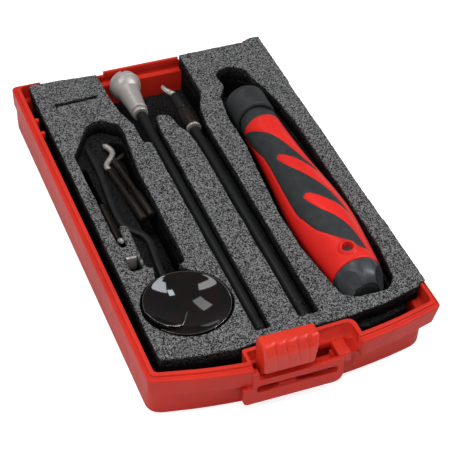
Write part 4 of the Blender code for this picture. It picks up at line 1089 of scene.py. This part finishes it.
def cap_flat(start, turned):
    """A large ball that cuts one shallow oval thumb rest into the dome's shoulder."""
    ball, depth = 30.0, 1.9
    out, rearward = 0.868, 0.496
    bm = bmesh.new()
    bmesh.ops.create_icosphere(bm, subdivisions=6, radius=ball)
    reach = 8.4 + out * (ball - depth)
    x, z = HANDLE_AXIS
    y = start + 2.6 - rearward * (ball - depth)
    place = (x + reach * math.sin(turned), y, z + reach * math.cos(turned))
    bmesh.ops.translate(bm, vec=place, verts=bm.verts)
    return bm


def build_rear_cap():
    """The dark dome at the rear end, the disc let into it, and the spigot that plugs into the body."""
    low, high = local_box("rear_cap")
    start, end = low.y, high.y
    dome = [(5.3, start), (6.4, start + 0.4), (7.7, start + 1.5), (8.9, start + 3.6), (9.6, start + 6.4),
            (9.85, start + 9.2)]
    line = [(0.0, start + 1.2), (5.2, start + 1.2), (5.2, start + 0.1)]
    line += [tuple(point) for point in through(dome, 6)]
    line += [(9.75, start + 9.5), (6.0, start + 9.5), (6.0, end), (0.0, end)]
    cap = to_object("rear_cap_visual", lathe_mesh(line, 96, HANDLE_AXIS), 40)
    for turn_deg in (-56, 64, 184):
        combine(cap, cap_flat(start, math.radians(turn_deg)), "DIFFERENCE")
    stand_for(cap, "rear_cap")
    disc_low, disc_high = local_box("rear_cap_disc")
    face = [(0.0, disc_low.y + 0.25), (2.6, disc_low.y + 0.2), (3.4, disc_low.y), (4.5, disc_low.y + 0.05),
            (4.9, disc_low.y + 0.4), (4.9, disc_high.y), (0.0, disc_high.y)]
    disc = lathe_mesh(eased(face, 0.25), 64, HANDLE_AXIS)
    show("rear_cap_disc", disc)


def build_spring(node):
    """A coil with its CAD shape, shown on its own copy of the CAD mesh."""
    source = frame["nodes"][node]
    coil = new_object(f"{node}_visual", source.data.copy())
    coil.matrix_world = source.matrix_world
    stand_for(coil, node)
    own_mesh(coil)


def build_button():
    """The release button, with a shallow dimple in its top."""
    line = [(0.0, 6.2), (1.8, 6.2), (2.1, 6.5), (2.1, 9.0), (1.75, 9.45), (0.9, 9.2), (0.0, 9.05)]
    show("release_button", button_mesh(eased(line, 0.3, 5), 48), 50)


# ---------------------------------------------------------------- the two tool holders

ROD_RADIUS = 2.3


def rod_line(start, end, tail_radius, tail_end):
    """A rod's profile: a chamfered end, a shallow groove near it, and a thinner tail inside the head."""
    groove = start + 5.8
    return [
        (0.0, start), (ROD_RADIUS - 0.8, start), (ROD_RADIUS - 0.1, start + 0.8), (ROD_RADIUS, start + 1.2),
        (ROD_RADIUS, groove), (ROD_RADIUS - 0.4, groove + 0.4), (ROD_RADIUS - 0.4, groove + 1.6),
        (ROD_RADIUS, groove + 2.0), (ROD_RADIUS, end), (tail_radius, end + 0.3), (tail_radius, tail_end),
        (0.0, tail_end),
    ]


def turned_piece(node, line, radius=0.15, steps=64):
    """A round piece with softened corners, turned about its CAD node's axis."""
    mesh = lathe_mesh(eased(line, radius, 3), steps, axis_of(node))
    show(node, mesh, 45)


def build_countersink():
    """The countersink on its rod: a ring, a flared sleeve, the cutting head and its screw."""
    turned_piece("countersink_rod", rod_line(9.4, 148.0, 1.8, 164.0))
    turned_piece("countersink_ring", [
        (1.9, 148.7), (3.2, 148.7), (3.4, 149.1), (3.4, 150.5), (3.1, 150.9), (1.9, 150.9)])
    cone = [(1.9, 151.2), (3.6, 151.2), (3.85, 151.5), (3.9, 152.6), (3.7, 152.9), (4.95, 165.4)]
    flare = [tuple(p) for p in through([(5.05, 165.6), (5.9, 166.8), (6.55, 168.4), (6.85, 169.6)], 6)]
    socket = [(3.4, 169.6), (3.4, 166.0), (1.9, 166.0)]
    turned_piece("countersink_sleeve", cone + flare + socket, 0.12, 96)
    build_cutter()
    turned_piece("countersink_screw", [
        (0.0, 166.4), (1.3, 166.4), (1.3, 176.3), (2.0, 176.3), (2.0, 177.0), (1.4, 177.4), (0.9, 177.4),
        (0.7, 176.9), (0.0, 176.9)])


def build_cutter():
    """The countersink's head: a broad rolled band and a cone with three cutting flutes."""
    line = [(1.6, 169.8), (6.7, 169.8), (6.95, 170.1), (6.98, 171.0), (6.7, 171.5), (6.3, 173.2),
            (5.3, 174.8), (3.8, 175.7), (2.2, 176.1), (1.6, 176.1)]
    x, z = axis_of("countersink_cutter")
    cutter = to_object("countersink_cutter_visual", lathe_mesh(eased(line, 0.25, 4), 96, (x, z)), 40)
    for i in range(3):
        a = 2 * math.pi * i / 3
        start = Vector((x + 7.2 * math.sin(a), 173.0, z + 7.2 * math.cos(a)))
        end = Vector((x + 0.8 * math.sin(a + 0.5), 178.6, z + 0.8 * math.cos(a + 0.5)))
        along = end - start
        tool = bmesh.new()
        bmesh.ops.create_cone(tool, cap_ends=True, segments=20, radius1=0.9, radius2=0.9, depth=along.length)
        turn = along.to_track_quat("Z", "Y").to_matrix().to_4x4()
        bmesh.ops.transform(tool, matrix=Matrix.Translation((start + end) / 2) @ turn, verts=tool.verts)
        combine(cutter, tool, "DIFFERENCE")
    stand_for(cutter, "countersink_cutter")


def build_blade_holder():
    """The blade holder on its rod: a ring, a ferrule, a nose and the hooked swivel blade."""
    turned_piece("blade_holder_rod", rod_line(9.9, 130.9, 1.7, 142.8))
    turned_piece("holder_ring", [
        (1.8, 131.4), (3.15, 131.4), (3.4, 131.65), (3.4, 132.45), (3.15, 132.7), (1.8, 132.7)], 0.12)
    turned_piece("holder_ferrule", [
        (1.8, 133.0), (3.1, 133.0), (3.3, 133.5), (3.35, 138.0), (3.05, 143.8), (2.3, 146.0), (1.1, 146.0),
        (1.1, 143.2), (1.8, 143.2)], 0.5)
    turned_piece("holder_nose", [
        (0.0, 146.3), (2.0, 146.3), (2.25, 146.9), (2.2, 152.0), (2.15, 155.6), (1.9, 156.6), (1.4, 156.6),
        (1.4, 148.4), (0.0, 148.4)], 0.2)
    x, z = axis_of("holder_nose")
    path = [(0, 148.9, 1.3), (0, 157.0, 1.3), (-0.5, 158.9, 1.35), (-1.5, 160.7, 1.3), (-2.3, 162.5, 1.15),
            (-2.6, 164.3, 0.9), (-2.4, 165.6, 0.4)]
    stations = [(x + px, py, z, r, r * (1.0 if py < 159 else 0.8)) for px, py, r in through(path, 6)]
    show("swivel_blade", sweep_mesh(stations), 50)


# ---------------------------------------------------------------- loose pieces

BLADE_Z = -4.7


def build_spare_blade(node, tail, neck, hook):
    """A spare swivel blade: a thick shank with a rounded tail, a shoulder, a thin neck and a hooked tip."""
    tail, neck = Vector(tail), Vector(neck)
    along = (neck - tail).normalized()
    shank = [(0.0, 1.2), (0.15, 1.5), (0.5, 1.7), (14.7, 1.7), (15.0, 1.62), (15.4, 1.28), (15.8, 1.22)]
    stations = [(*(tail + along * d), r, r) for d, r in shank]
    start = neck - along * 3.0
    bend = [(start.x, start.y, 1.2)] + [(neck.x, neck.y, 1.17)]
    bend += [(neck.x + dx, neck.y + dy, r) for dx, dy, r in hook]
    last = bend[-1]
    for px, py, r in through(bend, 7):
        towards_tip = max(0.0, 1 - math.dist((px, py), last[:2]) / 9.0)
        stations.append((px, py, BLADE_Z, r, r * (1 - 0.35 * towards_tip)))
    return show(node, sweep_mesh(stations), 50)


def build_loose_pieces():
    """Two spare swivel blades, the small bent blade and the scraper insert."""
    hook = [(1.2, 2.4, 1.15), (3.6, 5.2, 1.15), (4.9, 7.6, 1.2), (4.7, 10.6, 1.25), (3.6, 13.2, 1.15),
            (2.9, 14.4, 0.45)]
    small_hook = [(0.6, 1.2, 1.1), (2.2, 2.2, 1.05), (4.2, 3.6, 1.0), (5.1, 4.7, 0.45)]
    first = build_spare_blade("loose_blade_1", (24.4, 84.2, BLADE_Z), (20.4, 121.0, BLADE_Z), hook)
    # Painted highlight: the hooked tips take bright steel.
    paint_tip_highlight(first, (25.0, 127.5, BLADE_Z), 10.5)
    build_spare_blade("loose_blade_2", (28.2, 85.6, BLADE_Z), (24.7, 122.4, BLADE_Z), small_hook)
    path = [(10.2, 95.0, -2.4, 0.7), (10.2, 94.6, -2.4, 1.1), (10.2, 84.0, -2.3, 1.1),
            (10.2, 74.4, -2.2, 1.1), (10.3, 72.4, -1.6, 1.1), (10.5, 70.6, -0.4, 1.2),
            (10.6, 69.1, 0.2, 0.6)]
    small = [(x, y, z, r, r) for x, y, z, r in through(path, 6)]
    small_blade = show("small_blade", sweep_mesh(small), 50)
    paint_tip_highlight(small_blade, (10.5, 70.0, -0.2), 1.9)
    low, high = local_box("scraper_insert")
    show("scraper_insert", box_mesh(low, high, 0.22), 30)


def paint_tip_highlight(obj, centre, reach):
    """Gives the faces near a point a second, bright steel finish, as a painted highlight on the blade's tip.
    """
    obj.data.materials.append(MATERIALS["bright_steel"])
    middle = TO_FRAME @ Vector(centre)
    for face in obj.data.polygons:
        if (face.center - middle).length < reach * MM:
            face.material_index = 1


# ---------------------------------------------------------------- disc

def dish_height(share):
    """How high the disc's face lies at a share of its radius."""
    return -4.6 + 4.8 * share ** 2.2


def flute_angles(share):
    """Where the dish starts and ends at one ring: the open flute is narrow inside and wide at the rim."""
    outward = max(0.0, (share - 0.5) / 0.5)
    return 243.0 - 28.0 * outward ** 1.2, 601.0 - 61.0 * outward ** 1.6


def build_disc():
    """The dished disc with one open flute: a thin curled shell whose two lips overlap at the apex."""
    shares = np.concatenate([[0.0, 0.06, 0.12], np.linspace(0.2, 0.94, 24), [0.965, 0.985, 1.0]])
    thickness = 1.2
    loops = []
    for turned in np.linspace(0, 1, 160):
        upper = []
        for share in shares:
            start, end = flute_angles(share)
            a = math.radians(start + (end - start) * turned)
            r = DISC_RADIUS * max(share, 0.002)
            roll = 0.22 * max(0.0, (share - 0.94) / 0.06) ** 2
            lip = 0.35 * math.exp(-((1 - turned) / 0.02) ** 2) + 0.25 * math.exp(-(turned / 0.02) ** 2)
            z = dish_height(share) + 1.1 * turned * share - roll - lip * min(1.0, 2 * share)
            upper.append((DISC_CENTRE[0] + r * math.cos(a), DISC_CENTRE[1] + r * math.sin(a), z))
        thin = [0.3 * max(0.0, (share - 0.9) / 0.1) for share in shares]
        lower = [(x, y, z - thickness + less) for (x, y, z), less in zip(upper, thin)]
        loops.append(upper + lower[::-1])
    show("disc_cutter", loft_mesh(loops), 50)
    hub = [(0.0, -6.4), (4.2, -6.4), (4.6, -6.0), (4.6, -5.4), (3.8, -4.9), (0.0, -4.9)]
    mesh = lathe_mesh(eased(hub, 0.25), 48, turn=UPRIGHT, at=(*DISC_CENTRE, 0))
    add_piece(to_object("disc_hub_visual", mesh, 40), "disc_shank")


def build_disc_shank():
    """The flat cranked shank that runs from the blade pocket's far end to under the disc."""
    z = -5.2
    path = [
        (16.6, 134.8, z, 1.1), (16.6, 134.2, z, 1.5), (16.8, 119.0, z, 1.5), (15.4, 99.0, z, 1.5),
        (15.2, 88.6, z, 1.5), (15.8, 84.4, z, 1.5), (17.4, 81.2, z, 1.5), (20.6, 77.4, z, 1.5),
        (22.0, 74.2, z, 1.5), (22.4, 70.0, z, 1.5), (21.4, 60.0, z, 1.4), (20.9, 50.0, z - 0.4, 1.3),
        (21.3, 40.0, -6.0, 1.2), (21.9, 35.0, -6.0, 1.0),
    ]
    stations = [(x, y, h, r, 0.58 * r) for x, y, h, r in through(path, 6)]
    show("disc_shank", sweep_mesh(stations, 24), 50)


# ---------------------------------------------------------------- stage

def build_floor():
    """Pale paper that glows only for the camera, so that it stays even behind the tray."""
    bm = bmesh.new()
    bmesh.ops.create_grid(bm, x_segments=2, y_segments=2, size=3.0)
    mesh = bpy.data.meshes.new("floor")
    bm.to_mesh(mesh)
    bm.free()
    look = Look("floor")
    paper = look.blend(look.ramp(look.noise(40.0, 3.0), 0.3, 0.7), (0.56, 0.56, 0.56), (0.59, 0.59, 0.59))
    glow = look.ramp(look.output("ShaderNodeLightPath", "Is Camera Ray"), 0.0, 1.0, 0.0, 0.75)
    grain = look.bump(look.noise(0.8, 3.0), 0.02)
    mesh.materials.append(
        look.finish(paper, 0.9, grain, Emission_Color=(1.0, 1.0, 1.0), Emission_Strength=glow))
    new_object("floor", mesh)


def build_surround():
    """A cool dim surround, darker still in reflections."""
    world = bpy.data.worlds.new("studio")
    world.use_nodes = True
    tree = world.node_tree
    background = tree.nodes["Background"]
    path = tree.nodes.new("ShaderNodeLightPath")
    strength = tree.nodes.new("ShaderNodeMapRange")
    strength.inputs["To Min"].default_value = 0.38
    strength.inputs["To Max"].default_value = 0.08
    tree.links.new(path.outputs["Is Glossy Ray"], strength.inputs["Value"])
    tree.links.new(strength.outputs["Result"], background.inputs["Strength"])
    background.inputs["Color"].default_value = (0.96, 0.98, 1.0, 1.0)
    bpy.context.scene.world = world


WHITE = (1.0, 1.0, 1.0)


def soft_light(name, place, size, power, colour=WHITE, mirrored=True):
    """An area light that faces the tray; it can be left out of all mirrors."""
    light = bpy.data.lights.new(name, "AREA")
    light.shape = "RECTANGLE"
    light.size, light.size_y = size
    light.energy = power
    light.color = colour
    obj = new_object(name, light)
    obj.location = place
    obj.rotation_euler = (-Vector(place)).to_track_quat("-Z", "Y").to_euler()
    obj.visible_glossy = mirrored
    return obj


def keep_off(light, piece):
    """Stops a light from reaching one piece."""
    shaded = bpy.data.collections.new(f"{light.name}_kept_off")
    shaded.objects.link(bpy.data.objects[piece])
    shaded.collection_objects[0].light_linking.link_state = "EXCLUDE"
    light.light_linking.receiver_collection = shaded


def build_lights():
    """Soft light from above and from two sides, and small soft boxes that the disc mirrors."""
    soft_light("top_box", (-0.05, -0.10, 1.5), (0.42, 0.42), 8.4, mirrored=False)
    strip = soft_light("overhead_strip", (0.35, -0.40, 1.13), (0.30, 0.12), 0.7)
    keep_off(strip, "disc_cutter_visual")
    soft_light("right_box", (0.95, -0.16, 0.95), (0.40, 0.76), 5.0, (0.90, 0.95, 1.0))
    soft_light("upper_right_box", (0.50, 0.05, 1.10), (0.20, 0.16), 0.7, (0.86, 0.93, 1.0))
    soft_light("left_box", (-0.60, 0.16, 1.14), (0.24, 0.62), 1.5)
    soft_light("back_box", (-0.14, 0.65, 0.99), (0.26, 0.54), 0.8)
    soft_light("side_box", (-1.10, -0.15, 0.85), (0.5, 0.5), 4.0, mirrored=False)
    soft_light("front_box", (-0.35, -1.05, 0.80), (0.7, 0.5), 3.3, mirrored=False)


def build_camera():
    """Looks down at 41 degrees from the front left, with a long lens."""
    camera = bpy.data.cameras.new("camera")
    camera.lens = 127.7
    camera.sensor_width = 36
    camera.clip_start = 0.01
    right = Vector((0.93537, -0.35332, 0.015513)).normalized()
    up = Vector((0.22124, 0.61881, 0.75374)).normalized()
    turn = Matrix((right, up, right.cross(up))).transposed().to_4x4()
    obj = new_object("camera", camera)
    obj.matrix_world = Matrix.Translation((-0.174087, -0.461299, 0.428992)) @ turn
    bpy.context.scene.camera = obj


# ---------------------------------------------------------------- assembly

bpy.context.scene.view_settings.view_transform = "Standard"
build_tray()
build_slider()
build_foam()
build_handle_body()
build_grip()
build_chuck()
build_collar_gap()
build_rear_cap()
build_button()
build_spring("collar_spring")
build_spring("button_spring")
build_countersink()
build_blade_holder()
build_loose_pieces()
build_disc()
build_disc_shank()
for node, obj in frame["nodes"].items():
    obj.data.materials.clear()
    obj.data.materials.append(MATERIALS[SLOT_OF[node]])

build_floor()
build_surround()
build_lights()
build_camera()
